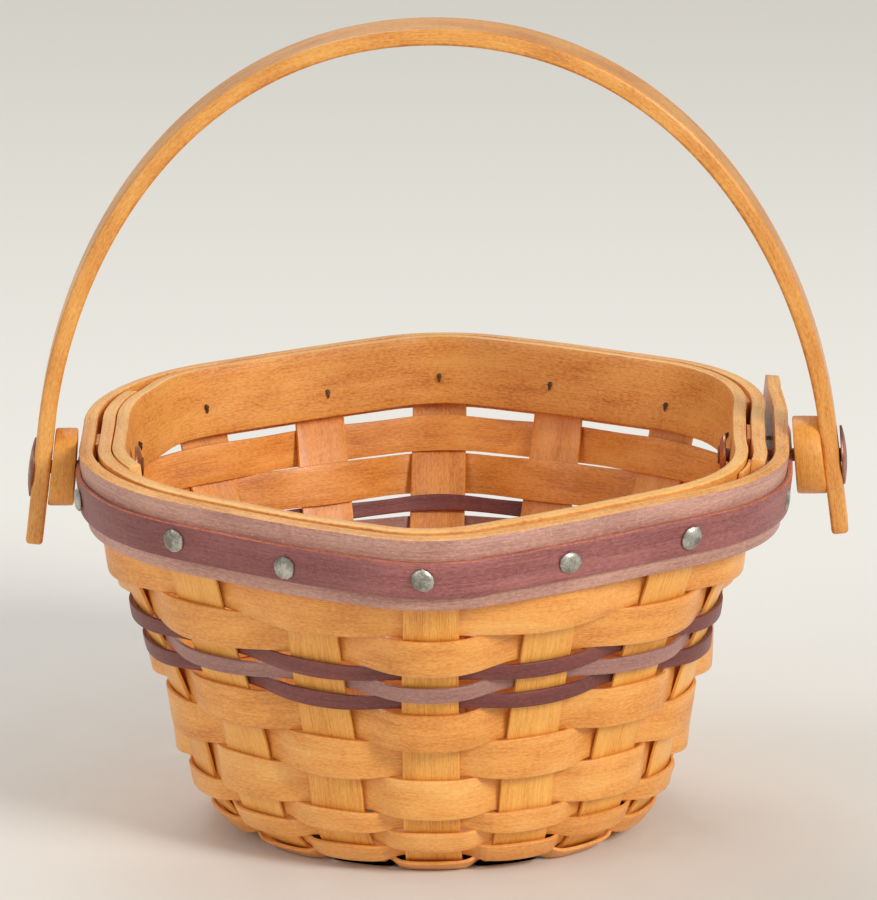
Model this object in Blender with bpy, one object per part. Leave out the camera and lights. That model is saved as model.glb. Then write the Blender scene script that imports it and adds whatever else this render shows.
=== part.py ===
"""Woven splint basket with a hexagonal rim and a bentwood handle that swings on two rivets.

Metres, +Z up. The origin is at the middle of the basket's foot, on the surface it stands on.
The front corner of the hexagon points to -Y, and the handle's rivets lie along X.

Every piece of the basket follows one wall surface, the middle of the upright splints. A place on
it has two values: the share of the way round the basket, from the front corner towards +X, and
the distance up the wall from the middle of the base.
"""

import functools
import math

import bmesh
import bpy
import numpy as np

# Splints: eight long ones cross under the base and rise as sixteen stakes
STAKE_COUNT = 16
STAKE_WIDTH = 0.0127
STAKE_THICKNESS = 0.0008
HUB_SPLINT_WIDTH = 0.0042
HUB_STACK_GAP = 0.00025
HUB_RADIUS = 0.006
HUB_PAIR_RADIUS = 0.012
HUB_FADE_RADIUS = 0.023

# Weavers: widths are measured up the wall
WEAVER_THICKNESS = 0.0008
WIDE_WEAVER = 0.0091
ACCENT_WEAVER = 0.0038
NARROW_WEAVER = 0.0044
BASE_ROW_GAP = 0.0005
HEEL_ROW_RISE = 0.0013
FLAT_MARGIN = 0.0004

# Room between pieces that touch on the real basket
SEAT_GAP = 0.0003
NAIL_GAP = 0.00015
RUNNING_GAP = 0.0003

# Wall: half widths are those of the flats, to the middle of the splints
RIM_ACROSS_FLATS = 0.1618
RIM_HEIGHT = 0.0905
COLLAR_LEAN = 0.0021
CORNER_RADIUS = 0.0225
SIDE_CORNER_RADIUS = 0.0480
FLOOR_RADIUS = 0.0426
HEEL_PULL = 0.0060
HIP_RADIUS = 0.0548
HIP_HEIGHT = 0.0167
HIP_LEAN_SHARE = 0.207
HIP_PULL_DOWN = 0.0037
HIP_PULL_UP = 0.0241
COLLAR_PULL = 0.0147
COLLAR_LEAN_SHARE = 0.316
KICK_HEIGHT = 0.0022
KICK_RADIUS = 0.0350

# Rim bands and the strip nailed over them
OUTER_BAND_WIDTH = 0.0172
OUTER_BAND_THICKNESS = 0.0028
INNER_BAND_WIDTH = 0.0159
INNER_BAND_THICKNESS = 0.0030
BAND_TO_FIRST_ROW = 0.0004
LAP_GAP = 0.0006
LAP_TAIL = 0.0050
LAP_FADE_HEIGHT = 0.0360
TRIM_WIDTH = 0.0094
TRIM_THICKNESS = 0.0013
TRIM_TO_RIM = 0.0040
STAKE_TOP_DROP = 0.0012

# Tacks
TACK_HEAD_RADIUS = 0.0027
TACK_HEAD_THICKNESS = 0.0009
TACK_CROWN_SHARE = 0.62
TACK_SHANK = 0.0010
TACK_POINT = 0.0007
TACK_SIDES = 12
TACK_SHIFT = 0.0045

# Handle: a flat strip bent to a bow, with a tail below each rivet
RIM_TO_PIVOT = 0.0062
HANDLE_STANDOFF = 0.0115
HANDLE_REACH = 0.1033
HANDLE_WIDTH = 0.0127
HANDLE_THICKNESS = 0.0039
HANDLE_EDGE = 0.0008
LEG_STRAIGHT = 0.0094
LEG_RISE_SHARE = 0.462
LEG_LEAN_SHARE = 0.1165
BOW_SHOULDER_SHARE = 0.609
TAIL_LENGTH = 0.0180

# Rivets, spacers and the burrs that hold them inside
RIVET_SHANK_RADIUS = 0.0015
RIVET_HEAD_RADIUS = 0.0068
RIVET_HEAD_EDGE = 0.0005
RIVET_HEAD_DOME = 0.0007
RIVET_FLAT_SHARE = 0.5
RIVET_DOME_SHARE = 0.75
RIVET_TIP = 0.0007
SPACER_RADIUS = 0.0089
SPACER_EDGE = 0.0005
BURR_RADIUS = 0.0047
BURR_THICKNESS = 0.0012
BURR_EDGE = 0.0005
BURR_FACE_SHARE = 0.5
TURNED_SIDES = 20
CUT_OVERRUN = 0.0020

# Steps of the sampled surface and of the lofted strips
PATH_STEPS = 400
RING_STEPS = 720
PROBE = 0.0003
WIDE_GAP = 0.0100
HEEL_RUN = 0.0168
HEEL_STEPS = 7
WALL_STEPS = 11
BASE_STEPS = 8
BOW_STEPS = 28

# Finishes, then the width and colour of each row of the wall from the rim down
MAPLE = (0.78, 0.40, 0.15)
MAPLE_DARK = (0.66, 0.30, 0.10)
PLUM = (0.16, 0.045, 0.05)
LILAC = (0.33, 0.17, 0.15)
STEEL = (0.42, 0.40, 0.36)
COPPER = (0.42, 0.15, 0.08)
ROWS = (
    (WIDE_WEAVER, MAPLE),
    (WIDE_WEAVER, MAPLE),
    (ACCENT_WEAVER, PLUM),
    (ACCENT_WEAVER, LILAC),
    (ACCENT_WEAVER, PLUM),
    (WIDE_WEAVER, MAPLE),
    (WIDE_WEAVER, MAPLE),
    (WIDE_WEAVER, MAPLE),
    (NARROW_WEAVER, MAPLE),
    (NARROW_WEAVER, MAPLE),
    (NARROW_WEAVER, MAPLE),
    (NARROW_WEAVER, MAPLE),
)
BASE_ROWS = 4
SPLINT_ROUGHNESS = 0.6
BENT_WOOD_ROUGHNESS = 0.5
STEEL_ROUGHNESS = 0.45
COPPER_ROUGHNESS = 0.35
METALLIC = 0.9
SHARP_ANGLE = math.radians(35)

# Places that follow from the sizes above
WEAVE_OFFSET = STAKE_THICKNESS / 2 + SEAT_GAP + WEAVER_THICKNESS / 2
FLOOR_LEVEL = WEAVE_OFFSET + WEAVER_THICKNESS / 2
OUTER_BAND_OFFSET = STAKE_THICKNESS / 2 + SEAT_GAP + OUTER_BAND_THICKNESS / 2
INNER_BAND_OFFSET = STAKE_THICKNESS / 2 + SEAT_GAP + INNER_BAND_THICKNESS / 2
OUTER_LAP = OUTER_BAND_THICKNESS + LAP_GAP
INNER_LAP = INNER_BAND_THICKNESS + SEAT_GAP
TRIM_OFFSET = OUTER_BAND_OFFSET + OUTER_BAND_THICKNESS / 2 + SEAT_GAP + TRIM_THICKNESS / 2
RIM_HALF_WIDTH = RIM_ACROSS_FLATS / 2 - OUTER_BAND_OFFSET - OUTER_BAND_THICKNESS / 2
COLLAR_HEIGHT = RIM_HEIGHT - OUTER_BAND_WIDTH
COLLAR_HALF_WIDTH = RIM_HALF_WIDTH - COLLAR_LEAN
PIVOT_HEIGHT = RIM_HEIGHT - RIM_TO_PIVOT
HANDLE_SPAN = RIM_ACROSS_FLATS + 2 * HANDLE_STANDOFF
HALF_STAKES = STAKE_COUNT // 2
RIGHT_STAKE = STAKE_COUNT // 4
LEFT_STAKE = 3 * STAKE_COUNT // 4
CORNERS = ((-1, -1), (-1, 1), (1, 1), (1, -1))


def smoothstep(value):
    """0 below 0, 1 above 1, and a smooth rise between."""
    value = np.clip(value, 0.0, 1.0)
    return value * value * (3 - 2 * value)


def unit(vector):
    """The vector at length 1."""
    return vector / np.linalg.norm(vector)


def bezier(start, pull_start, pull_end, end, shares):
    """Points of a cubic curve at the given shares of its run."""
    t = np.asarray(shares)[:, None]
    return (
        (1 - t) ** 3 * np.array(start)
        + 3 * (1 - t) ** 2 * t * np.array(pull_start)
        + 3 * (1 - t) * t**2 * np.array(pull_end)
        + t**3 * np.array(end)
    )


@functools.lru_cache(maxsize=None)
def wall_path():
    """Distance, half width and height along the wall: base, heel and side, then the straight collar."""
    radii = np.linspace(0, FLOOR_RADIUS, PATH_STEPS)
    kick = KICK_HEIGHT * np.clip(1 - (radii / KICK_RADIUS) ** 2, 0, 1) ** 2
    base = np.stack([radii, FLOOR_LEVEL + kick], 1)
    heel = bezier(
        (FLOOR_RADIUS, FLOOR_LEVEL),
        (FLOOR_RADIUS + HEEL_PULL, FLOOR_LEVEL),
        (HIP_RADIUS - HIP_LEAN_SHARE * HIP_PULL_DOWN, HIP_HEIGHT - HIP_PULL_DOWN),
        (HIP_RADIUS, HIP_HEIGHT),
        np.linspace(0, 1, PATH_STEPS),
    )
    side = bezier(
        (HIP_RADIUS, HIP_HEIGHT),
        (HIP_RADIUS + HIP_LEAN_SHARE * HIP_PULL_UP, HIP_HEIGHT + HIP_PULL_UP),
        (COLLAR_HALF_WIDTH - COLLAR_LEAN_SHARE * COLLAR_PULL, COLLAR_HEIGHT - COLLAR_PULL),
        (COLLAR_HALF_WIDTH, COLLAR_HEIGHT),
        np.linspace(0, 1, PATH_STEPS),
    )
    rim = np.array([[RIM_HALF_WIDTH, RIM_HEIGHT]])
    points = np.concatenate([base, heel[1:], side[1:], rim])
    lengths = np.linalg.norm(np.diff(points, axis=0), axis=1)
    distance = np.concatenate([[0], np.cumsum(lengths)])
    return distance, points[:, 0], points[:, 1]


def half_width_at(distance):
    """Half width across the flats at a distance up the wall."""
    path = wall_path()
    return np.interp(distance, path[0], path[1])


def height_at(distance):
    """Height at a distance up the wall."""
    path = wall_path()
    return np.interp(distance, path[0], path[2])


RIM_DISTANCE = wall_path()[0][-1]
COLLAR_DISTANCE = wall_path()[0][-2]
FLOOR_DISTANCE = wall_path()[0][PATH_STEPS - 1]


def hexagon_reach(angle):
    """Centre to edge of the hexagon with rounded corners, as a share of its half width.

    The front and back corners are tighter than the four at the sides.
    """
    sixth = math.pi / 3
    is_end = np.mod(np.rint(angle / sixth), 3) == 0
    from_flat = np.abs(np.mod(angle, sixth) - sixth / 2)
    round_share = np.where(is_end, CORNER_RADIUS, SIDE_CORNER_RADIUS) / RIM_HALF_WIDTH
    to_centre = (1 - round_share) / math.cos(sixth / 2)
    from_corner = sixth / 2 - from_flat
    on_arc = to_centre * np.cos(from_corner) + np.sqrt(
        np.maximum(round_share**2 - (to_centre * np.sin(from_corner)) ** 2, 0)
    )
    on_flat = 1 / np.cos(from_flat)
    is_flat = np.tan(from_flat) <= (1 - round_share) * math.tan(sixth / 2)
    return np.where(is_flat, on_flat, on_arc)


def roundness_at(height):
    """0 where the wall is a circle, at the foot, and 1 where it is a hexagon, at the collar."""
    return np.clip((height - FLOOR_LEVEL) / (COLLAR_HEIGHT - FLOOR_LEVEL), 0, 1)


@functools.lru_cache(maxsize=None)
def ring_table(distance):
    """Share of the way round, angle, and total length, for the ring at a distance up the wall."""
    angles = np.linspace(0, 2 * math.pi, RING_STEPS + 1)
    share = roundness_at(height_at(distance))
    reach = half_width_at(distance) * ((1 - share) + share * hexagon_reach(angles))
    points = np.stack([reach * np.sin(angles), -reach * np.cos(angles)], 1)
    lengths = np.concatenate([[0], np.cumsum(np.linalg.norm(np.diff(points, axis=0), axis=1))])
    return lengths / lengths[-1], angles, reach, lengths[-1]


def flat_half(distance, width=STAKE_WIDTH):
    """Half the share of the ring on which every strip runs straight past a stake."""
    return (width / 2 + FLAT_MARGIN) / ring_table(round(distance, 7))[3]


def lap_push(share, height):
    """How far the right flat is set in near the rim, to take the outer band's lap."""
    edge = flat_half(RIM_DISTANCE)
    rise_start = (RIGHT_STAKE - 2) / STAKE_COUNT + edge
    rise_end = (RIGHT_STAKE - 1) / STAKE_COUNT - edge
    from_right = abs(share % 1 - RIGHT_STAKE / STAKE_COUNT)
    run = rise_end - rise_start
    across = smoothstep((RIGHT_STAKE / STAKE_COUNT - rise_start - from_right) / run)
    up = np.clip((height - LAP_FADE_HEIGHT) / (COLLAR_HEIGHT - LAP_FADE_HEIGHT), 0, 1)
    return OUTER_LAP * float(across) * float(up)


def wall_point(share, distance):
    """The middle of the wall, at a share of the way round and a distance up it."""
    distance = round(float(distance), 7)
    shares, angles, reach, _ = ring_table(distance)
    height = float(height_at(distance))
    angle = np.interp(share % 1, shares, angles)
    radius = np.interp(share % 1, shares, reach)
    push = lap_push(share, height)
    return np.array([radius * math.sin(angle) - push, -radius * math.cos(angle), height])


def wall_frame(share, distance):
    """Point, direction up the wall and direction out of it."""
    step = PROBE / ring_table(round(float(distance), 7))[3]
    low = max(distance - PROBE, 0)
    high = min(distance + PROBE, RIM_DISTANCE)
    up = unit(wall_point(share, high) - wall_point(share, low))
    along = wall_point(share + step, distance) - wall_point(share - step, distance)
    return wall_point(share, distance), up, unit(np.cross(along, up))


def stake_frame(stake, distance):
    """Middle of a stake's face on the straight run past it, with across, up and outward directions."""
    middle = stake / STAKE_COUNT
    edge = flat_half(distance)
    low = max(distance - PROBE, FLOOR_DISTANCE)
    high = min(distance + PROBE, RIM_DISTANCE)
    left, right = (wall_point(middle + side * edge, distance) for side in (-1, 1))
    below, above = (
        sum(wall_point(middle + side * edge, place) for side in (-1, 1)) / 2 for place in (low, high)
    )
    across = unit(right - left)
    up = unit(above - below)
    return (left + right) / 2, across, up, unit(np.cross(across, up))


def material(name, colour, roughness, metallic=0):
    """A finish of its own for one piece."""
    made = bpy.data.materials.new(name)
    made.use_nodes = True
    shader = made.node_tree.nodes["Principled BSDF"]
    shader.inputs["Base Color"].default_value = (*colour, 1)
    shader.inputs["Roughness"].default_value = roughness
    shader.inputs["Metallic"].default_value = metallic
    return made


def add_object(name, mesh_data, finish, parent, place=(0, 0, 0)):
    """Puts a bmesh into the scene as one piece, with its faces turned outwards."""
    bmesh.ops.recalc_face_normals(mesh_data, faces=mesh_data.faces)
    if mesh_data.calc_volume(signed=True) < 0:
        bmesh.ops.reverse_faces(mesh_data, faces=mesh_data.faces)
    mesh = bpy.data.meshes.new(name)
    mesh_data.to_mesh(mesh)
    mesh_data.free()
    piece = bpy.data.objects.new(name, mesh)
    piece.location = place
    piece.parent = parent
    mesh.materials.append(finish)
    bpy.context.collection.objects.link(piece)
    return piece


def loft(sections, closed):
    """A solid through a row of sections with like corners, as a ring or with its ends filled."""
    made = bmesh.new()
    loops = [[made.verts.new(point) for point in section] for section in sections]
    pairs = zip(loops, loops[1:] + loops[:1] if closed else loops[1:])
    for first, second in pairs:
        for corner in range(len(first)):
            after = (corner + 1) % len(first)
            made.faces.new((first[corner], first[after], second[after], second[corner]))
    if not closed:
        made.faces.new(loops[0])
        made.faces.new(loops[-1])
    return made


def turned(profile, sides, along_x=False):
    """A solid turned round its axis. The profile's points are (radius, place along the axis)."""
    made = bmesh.new()
    turns = [2 * math.pi * side / sides for side in range(sides)]
    loops = [
        [made.verts.new((radius * math.cos(turn), radius * math.sin(turn), place)) for turn in turns]
        if radius > 0
        else [made.verts.new((0, 0, place))]
        for radius, place in profile
    ]
    closed = profile[0][0] > 0
    for first, second in zip(loops, loops[1:] + loops[:1] if closed else loops[1:]):
        for side in range(sides):
            after = (side + 1) % sides
            ends = [first[side % len(first)], first[after % len(first)]]
            ends += [second[after % len(second)], second[side % len(second)]]
            made.faces.new(list(dict.fromkeys(ends)))
    if along_x:
        for vert in made.verts:
            vert.co = (vert.co.z, vert.co.x, vert.co.y)
    return made


def smooth(piece):
    """Shades a round piece smooth, with its real edges kept sharp."""
    piece.data.shade_smooth()
    piece.data.set_sharp_from_angle(angle=SHARP_ANGLE)


def strip_section(share, distance, width, thickness, offset):
    """The four corners of a strip that lies on the wall, set out from its middle by an offset."""
    point, up, out = wall_frame(share, distance)
    middle = point + out * offset
    return [
        middle + up * width / 2 * rise + out * thickness / 2 * side
        for rise, side in ((-1, -1), (-1, 1), (1, 1), (1, -1))
    ]


def gap_shares(distance, width):
    """Shares of one gap between stakes where a strip gets a section of its own."""
    pitch = ring_table(round(distance, 7))[3] / STAKE_COUNT
    steps = 3 if pitch - width > WIDE_GAP else 2
    return [step / steps for step in range(1, steps)]


def bend_depth(distance, width):
    """How far the wall bulges away from a flat strip of this width."""
    low, middle, high = (
        wall_point(0, distance + side * width / 2)[1:] for side in (-1, 0, 1)
    )
    return float(np.linalg.norm((low + high) / 2 - middle))


def weaver(distance, width, starts_inside):
    """One row of weaving: over and under the stakes, dropping from face to face in the gaps."""
    stake_width = splint_width(float(half_width_at(distance)))
    edge = flat_half(distance, stake_width)
    pitch = 1 / STAKE_COUNT
    sections = []
    for stake in range(STAKE_COUNT):
        inside = (stake % 2 == 0) == starts_inside
        offset = -WEAVE_OFFSET - bend_depth(distance, width) if inside else WEAVE_OFFSET
        middle = stake * pitch
        stops = [(middle - edge, offset), (middle + edge, offset)]
        for part in gap_shares(distance, stake_width):
            across = middle + edge + part * (pitch - 2 * edge)
            stops.append((across, offset * math.cos(math.pi * part)))
        sections += [
            strip_section(share, distance, width, WEAVER_THICKNESS, out) for share, out in stops
        ]
    return loft(sections, closed=True)


def band_shares(start, end):
    """Places of a band's sections from start to end, straight past each stake."""
    edge = flat_half(RIM_DISTANCE)
    pitch = 1 / STAKE_COUNT
    inner = []
    for stake in range(2 * STAKE_COUNT):
        middle = stake * pitch
        inner += [middle - edge, middle + edge]
        inner += [
            middle + edge + part * (pitch - 2 * edge) for part in gap_shares(RIM_DISTANCE, STAKE_WIDTH)
        ]
    least = edge / STAKE_COUNT
    return [start] + [place for place in inner if start + least < place < end - least] + [end]


def band(start, end, distance, width, thickness, offset_at):
    """A strip bent round the rim, whose offset from the wall is a function of its place."""
    return loft(
        [
            strip_section(share, distance, width, thickness, offset_at(share))
            for share in band_shares(start, end)
        ],
        closed=False,
    )


def outer_lap_start():
    """Where the outer band's end starts to lie over its beginning."""
    return (RIGHT_STAKE - 1) / STAKE_COUNT - flat_half(RIM_DISTANCE)


def outer_lap_end():
    """Where the stakes under the outer band's lap end."""
    return (RIGHT_STAKE + 1) / STAKE_COUNT + flat_half(RIM_DISTANCE)


def over_lap(share):
    """How far the outer band and the trim stand out from their place on the single stretch."""
    if share < 1:
        return 0.0
    if share - 1 < outer_lap_start():
        return lap_push(share, RIM_HEIGHT)
    return OUTER_LAP


def under_lap(share):
    """How far the inner band's end is set in, past its beginning."""
    edge = flat_half(RIM_DISTANCE)
    rise_start = 1 + (LEFT_STAKE - 2) / STAKE_COUNT + edge
    rise_end = 1 + (LEFT_STAKE - 1) / STAKE_COUNT - edge
    return INNER_LAP * float(smoothstep((share - rise_start) / (rise_end - rise_start)))


def distance_at_height(height):
    """Distance up the wall at which the collar reaches a height."""
    path = wall_path()
    return float(np.interp(height, path[2][PATH_STEPS:], path[0][PATH_STEPS:]))


def rim_places():
    """Distances up the wall to the middle of the outer band, the inner band and the trim."""
    return (
        RIM_DISTANCE - OUTER_BAND_WIDTH / 2,
        RIM_DISTANCE - INNER_BAND_WIDTH / 2,
        RIM_DISTANCE - TRIM_TO_RIM - TRIM_WIDTH / 2,
    )


def splint_width(radius):
    """Width of a splint: narrow over the hub, full at the foot and up the wall."""
    share = STAKE_WIDTH / (FLOOR_RADIUS + HEEL_PULL / 2)
    return float(np.clip(share * radius, HUB_SPLINT_WIDTH, STAKE_WIDTH))


def splint_level(order, radius):
    """Height of a crossing splint above the base, stacked at the hub and level at the rows."""
    pitch = STAKE_THICKNESS + HUB_STACK_GAP
    above = order % 2
    stack = order // 2 + above * (HALF_STAKES // 2 - 1)
    settle = 1 - smoothstep((radius - HUB_RADIUS) / (HUB_FADE_RADIUS - HUB_RADIUS))
    part = 1 - smoothstep((radius - HUB_PAIR_RADIUS) / (HUB_FADE_RADIUS - HUB_PAIR_RADIUS))
    return pitch * (stack * settle + above * part)


def splint_half(order, stake):
    """Sections of one half of a splint, from the rim down to the middle of the base."""
    sections = []
    top = RIM_DISTANCE - STAKE_TOP_DROP
    hip = FLOOR_DISTANCE + HEEL_RUN
    heel = np.linspace(FLOOR_DISTANCE, hip, HEEL_STEPS, endpoint=False)
    side = [*heel, *np.linspace(hip, COLLAR_DISTANCE, WALL_STEPS)]
    for distance in [top, *reversed(side)]:
        middle, across, _, out = stake_frame(stake, distance)
        half = across * splint_width(float(half_width_at(distance))) / 2
        sections.append([middle + half * x + out * STAKE_THICKNESS / 2 * y for x, y in CORNERS])
    angle = 2 * math.pi * stake / STAKE_COUNT
    outwards = np.array([math.sin(angle), -math.cos(angle), 0])
    across = np.array([math.cos(angle), math.sin(angle), 0])
    outer = float(np.dot(sum(sections[-1]) / len(sections[-1]), outwards))
    stations = np.linspace(outer, HUB_RADIUS, BASE_STEPS)[1:]
    for radius in stations:
        level = float(height_at(radius)) + splint_level(order, radius)
        middle = outwards * radius + np.array([0, 0, level])
        half = across * splint_width(radius) / 2
        thick = np.array([0, 0, -STAKE_THICKNESS / 2])
        sections.append([middle + half * x + thick * y for x, y in CORNERS])
    return sections


def splint(order):
    """A splint from one side of the rim, down under the base and up to the other side."""
    first = splint_half(order, order)
    second = splint_half(order, order + HALF_STAKES)
    turned_over = [[section[i] for i in (3, 2, 1, 0)] for section in reversed(second)]
    return loft(first + turned_over, closed=False)


def layers_at(stake):
    """Outer and inner faces of the rim's stack at a stake, as offsets from the wall."""
    lapped_outside = abs(stake - RIGHT_STAKE) <= 1
    lapped_inside = abs(stake - LEFT_STAKE) <= 1
    outside = TRIM_OFFSET + TRIM_THICKNESS / 2 + lapped_outside * OUTER_LAP
    inside = INNER_BAND_OFFSET + INNER_BAND_THICKNESS / 2 + lapped_inside * INNER_LAP
    return outside, inside


def tack_shift(stake):
    """How far a tack sits from the middle of its stake. Those beside a rivet sit nearer to it."""
    for pivot in (LEFT_STAKE, RIGHT_STAKE):
        if abs(pivot - stake) == 1:
            return (pivot - stake) * TACK_SHIFT
    return 0


def on_stake(mesh_data, stake, distance):
    """Turns a mesh whose +Z points outwards to a tack's place on a stake."""
    middle, across, up, out = stake_frame(stake, distance)
    middle = middle + across * tack_shift(stake)
    for vert in mesh_data.verts:
        x, y, z = vert.co
        vert.co = middle + across * x + up * y + out * z
    return mesh_data


def prism(half, low, high):
    """A square bar along Z."""
    corners = [(half * x, half * y) for x, y in CORNERS]
    return loft([[(x, y, z) for x, y in corners] for z in (low, high)], closed=False)


def tack(stake):
    """A low round head on a square shank that goes through the whole rim."""
    outside, inside = layers_at(stake)
    seat = outside + SEAT_GAP
    head = TACK_HEAD_RADIUS
    levels = (
        (head * TACK_CROWN_SHARE, seat + TACK_HEAD_THICKNESS),
        (head, seat + TACK_HEAD_THICKNESS / 2),
        (head, seat),
    )
    made = bmesh.new()
    loops = []
    for radius, place in levels:
        turns = [2 * math.pi * side / TACK_SIDES for side in range(TACK_SIDES)]
        points = [(-radius * math.sin(turn), -radius * math.cos(turn), place) for turn in turns]
        loops.append([made.verts.new(point) for point in points])
    for first, second in zip(loops, loops[1:]):
        for side in range(TACK_SIDES):
            after = (side + 1) % TACK_SIDES
            made.faces.new((first[side], first[after], second[after], second[side]))
    made.faces.new(loops[0])
    half = TACK_SHANK / 2
    neck, end = (
        [made.verts.new((half * x, half * y, place)) for x, y in CORNERS]
        for place in (seat, -inside - TACK_POINT)
    )
    for corner in range(4):
        after = (corner + 1) % 4
        made.faces.new((neck[corner], neck[after], end[after], end[corner]))
    made.faces.new(end)
    ring = loops[-1]
    run = TACK_SIDES // len(CORNERS)
    for corner, here in enumerate(neck):
        made.faces.new((ring[corner * run], here, neck[corner - 1]))
        for side in range(corner * run, corner * run + run):
            made.faces.new((ring[side], ring[(side + 1) % TACK_SIDES], here))
    return on_stake(made, stake, rim_places()[2])


def tack_cutter(stake):
    """The hole for a tack through every layer of the rim."""
    outside, inside = layers_at(stake)
    half = TACK_SHANK / 2 + NAIL_GAP
    return on_stake(
        prism(half, -inside - CUT_OVERRUN, outside + CUT_OVERRUN), stake, rim_places()[2]
    )


def rim_faces_at_pivot(side):
    """Distance from the middle plane to the trim's face and to the inner band's face."""
    stake = RIGHT_STAKE if side > 0 else LEFT_STAKE
    outside, inside = layers_at(stake)
    middle, _, _, out = stake_frame(stake, distance_at_height(PIVOT_HEIGHT))
    lean = abs(out[2] / out[0])
    reach = abs(middle[0])
    outer = reach + outside / abs(out[0]) + lean * (RIM_TO_PIVOT - TRIM_TO_RIM)
    inner = reach - inside / abs(out[0]) - lean * BURR_RADIUS
    return outer, inner


def handle_path():
    """Middle of the strip in the XZ plane for +X, from the top of the bow to the tail.

    Heights are measured from the pivot. The leg leans outwards, straight past the pivot to its end.
    """
    half = HANDLE_SPAN / 2 - HANDLE_THICKNESS / 2
    top = HANDLE_REACH - HANDLE_THICKNESS / 2
    pull = (top - LEG_STRAIGHT) * LEG_RISE_SHARE
    knee = half - LEG_STRAIGHT * LEG_LEAN_SHARE
    bow = bezier(
        (0, top),
        (half * BOW_SHOULDER_SHARE, top),
        (knee - pull * LEG_LEAN_SHARE, LEG_STRAIGHT + pull),
        (knee, LEG_STRAIGHT),
        np.linspace(0, 1, BOW_STEPS),
    )
    return np.array([*bow, (half + TAIL_LENGTH * LEG_LEAN_SHARE, -TAIL_LENGTH)])


def handle():
    """The bow as one strip with eased edges, from tail to tail."""
    right = handle_path()
    left = right[:0:-1] * np.array([-1, 1])
    path = np.concatenate([left, right])
    ease = HANDLE_EDGE
    deep, wide = HANDLE_THICKNESS / 2, HANDLE_WIDTH / 2
    outline = [
        (-deep, -wide + ease), (-deep + ease, -wide), (deep - ease, -wide), (deep, -wide + ease),
        (deep, wide - ease), (deep - ease, wide), (-deep + ease, wide), (-deep, wide - ease),
    ]
    ahead = np.gradient(path, axis=0)
    sections = []
    for (x, z), (dx, dz) in zip(path, ahead):
        length = math.hypot(dx, dz)
        out = (-dz / length, dx / length)
        sections.append([(x + out[0] * a, b, z + out[1] * a) for a, b in outline])
    return loft(sections, closed=False)


def axis_bar(radius, start, end):
    """A round bar along X, for cutting the rivet's way."""
    low, high = sorted((start, end))
    return turned([(0, low), (radius, low), (radius, high), (0, high)], TURNED_SIDES, along_x=True)


def mirrored(profile, side):
    """A turned profile whose places along X are given for +X, on either side."""
    return [(radius, side * place) for radius, place in profile]


def rivet(side):
    """Wide flat head outside the handle, on a shank that ends past the burr."""
    _, inner = rim_faces_at_pivot(side)
    under = HANDLE_SPAN / 2 + LEG_LEAN_SHARE * RIVET_HEAD_RADIUS + RUNNING_GAP
    rim = under + RIVET_HEAD_EDGE
    tip = inner - SEAT_GAP - BURR_THICKNESS - RIVET_TIP
    profile = [
        (0, tip),
        (RIVET_SHANK_RADIUS, tip),
        (RIVET_SHANK_RADIUS, under),
        (RIVET_HEAD_RADIUS, under),
        (RIVET_HEAD_RADIUS, rim),
        (RIVET_HEAD_RADIUS * RIVET_FLAT_SHARE, rim + RIVET_HEAD_DOME * RIVET_DOME_SHARE),
        (0, rim + RIVET_HEAD_DOME),
    ]
    return turned(mirrored(profile, side), TURNED_SIDES, along_x=True)


def washer(low, high, bore, radius, edge, side):
    """A turned ring with eased outer edges."""
    profile = [
        (bore, low), (radius - edge, low), (radius, low + edge),
        (radius, high - edge), (radius - edge, high), (bore, high),
    ]
    return turned(mirrored(profile, side), TURNED_SIDES, along_x=True)


def spacer(side):
    """Wooden block between the trim and the handle, turned on the rivet."""
    outer, _ = rim_faces_at_pivot(side)
    low = outer + SEAT_GAP
    inner_face = HANDLE_SPAN / 2 - HANDLE_THICKNESS
    high = inner_face - LEG_LEAN_SHARE * SPACER_RADIUS - RUNNING_GAP
    return washer(low, high, RIVET_SHANK_RADIUS + NAIL_GAP, SPACER_RADIUS, SPACER_EDGE, side)


def burr(side):
    """Domed copper ring that the rivet's shank is hammered over, inside the basket."""
    _, inner = rim_faces_at_pivot(side)
    high = inner - SEAT_GAP
    low = high - BURR_THICKNESS
    profile = [
        (RIVET_SHANK_RADIUS + NAIL_GAP, low),
        (BURR_RADIUS * BURR_FACE_SHARE, low),
        (BURR_RADIUS, high - BURR_EDGE),
        (BURR_RADIUS, high),
        (RIVET_SHANK_RADIUS + NAIL_GAP, high),
    ]
    return turned(mirrored(profile, side), TURNED_SIDES, along_x=True)


def hide_cutter(cutter):
    """Keeps a cutter out of the model and shows it as a wire."""
    cutter.hide_render = True
    cutter.display_type = "WIRE"


def cut_with(piece, cutters):
    """Takes a collection of cutters out of a piece."""
    cut = piece.modifiers.new("Holes", "BOOLEAN")
    cut.operation = "DIFFERENCE"
    cut.operand_type = "COLLECTION"
    cut.collection = cutters
    cut.solver = "EXACT"


def make_cutters(name, meshes, place=(0, 0, 0)):
    """A collection of hidden cutters."""
    cutters = bpy.data.collections.new(name)
    bpy.context.scene.collection.children.link(cutters)
    for number, mesh_data in enumerate(meshes, 1):
        finish = material(name, STEEL, STEEL_ROUGHNESS)
        cutter = add_object(f"{name}_{number}", mesh_data, finish, None, place)
        bpy.context.collection.objects.unlink(cutter)
        cutters.objects.link(cutter)
        hide_cutter(cutter)
    return cutters


def tacked_stakes():
    """Every stake but the two that the rivets go through."""
    return [stake for stake in range(STAKE_COUNT) if stake not in (LEFT_STAKE, RIGHT_STAKE)]


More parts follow.
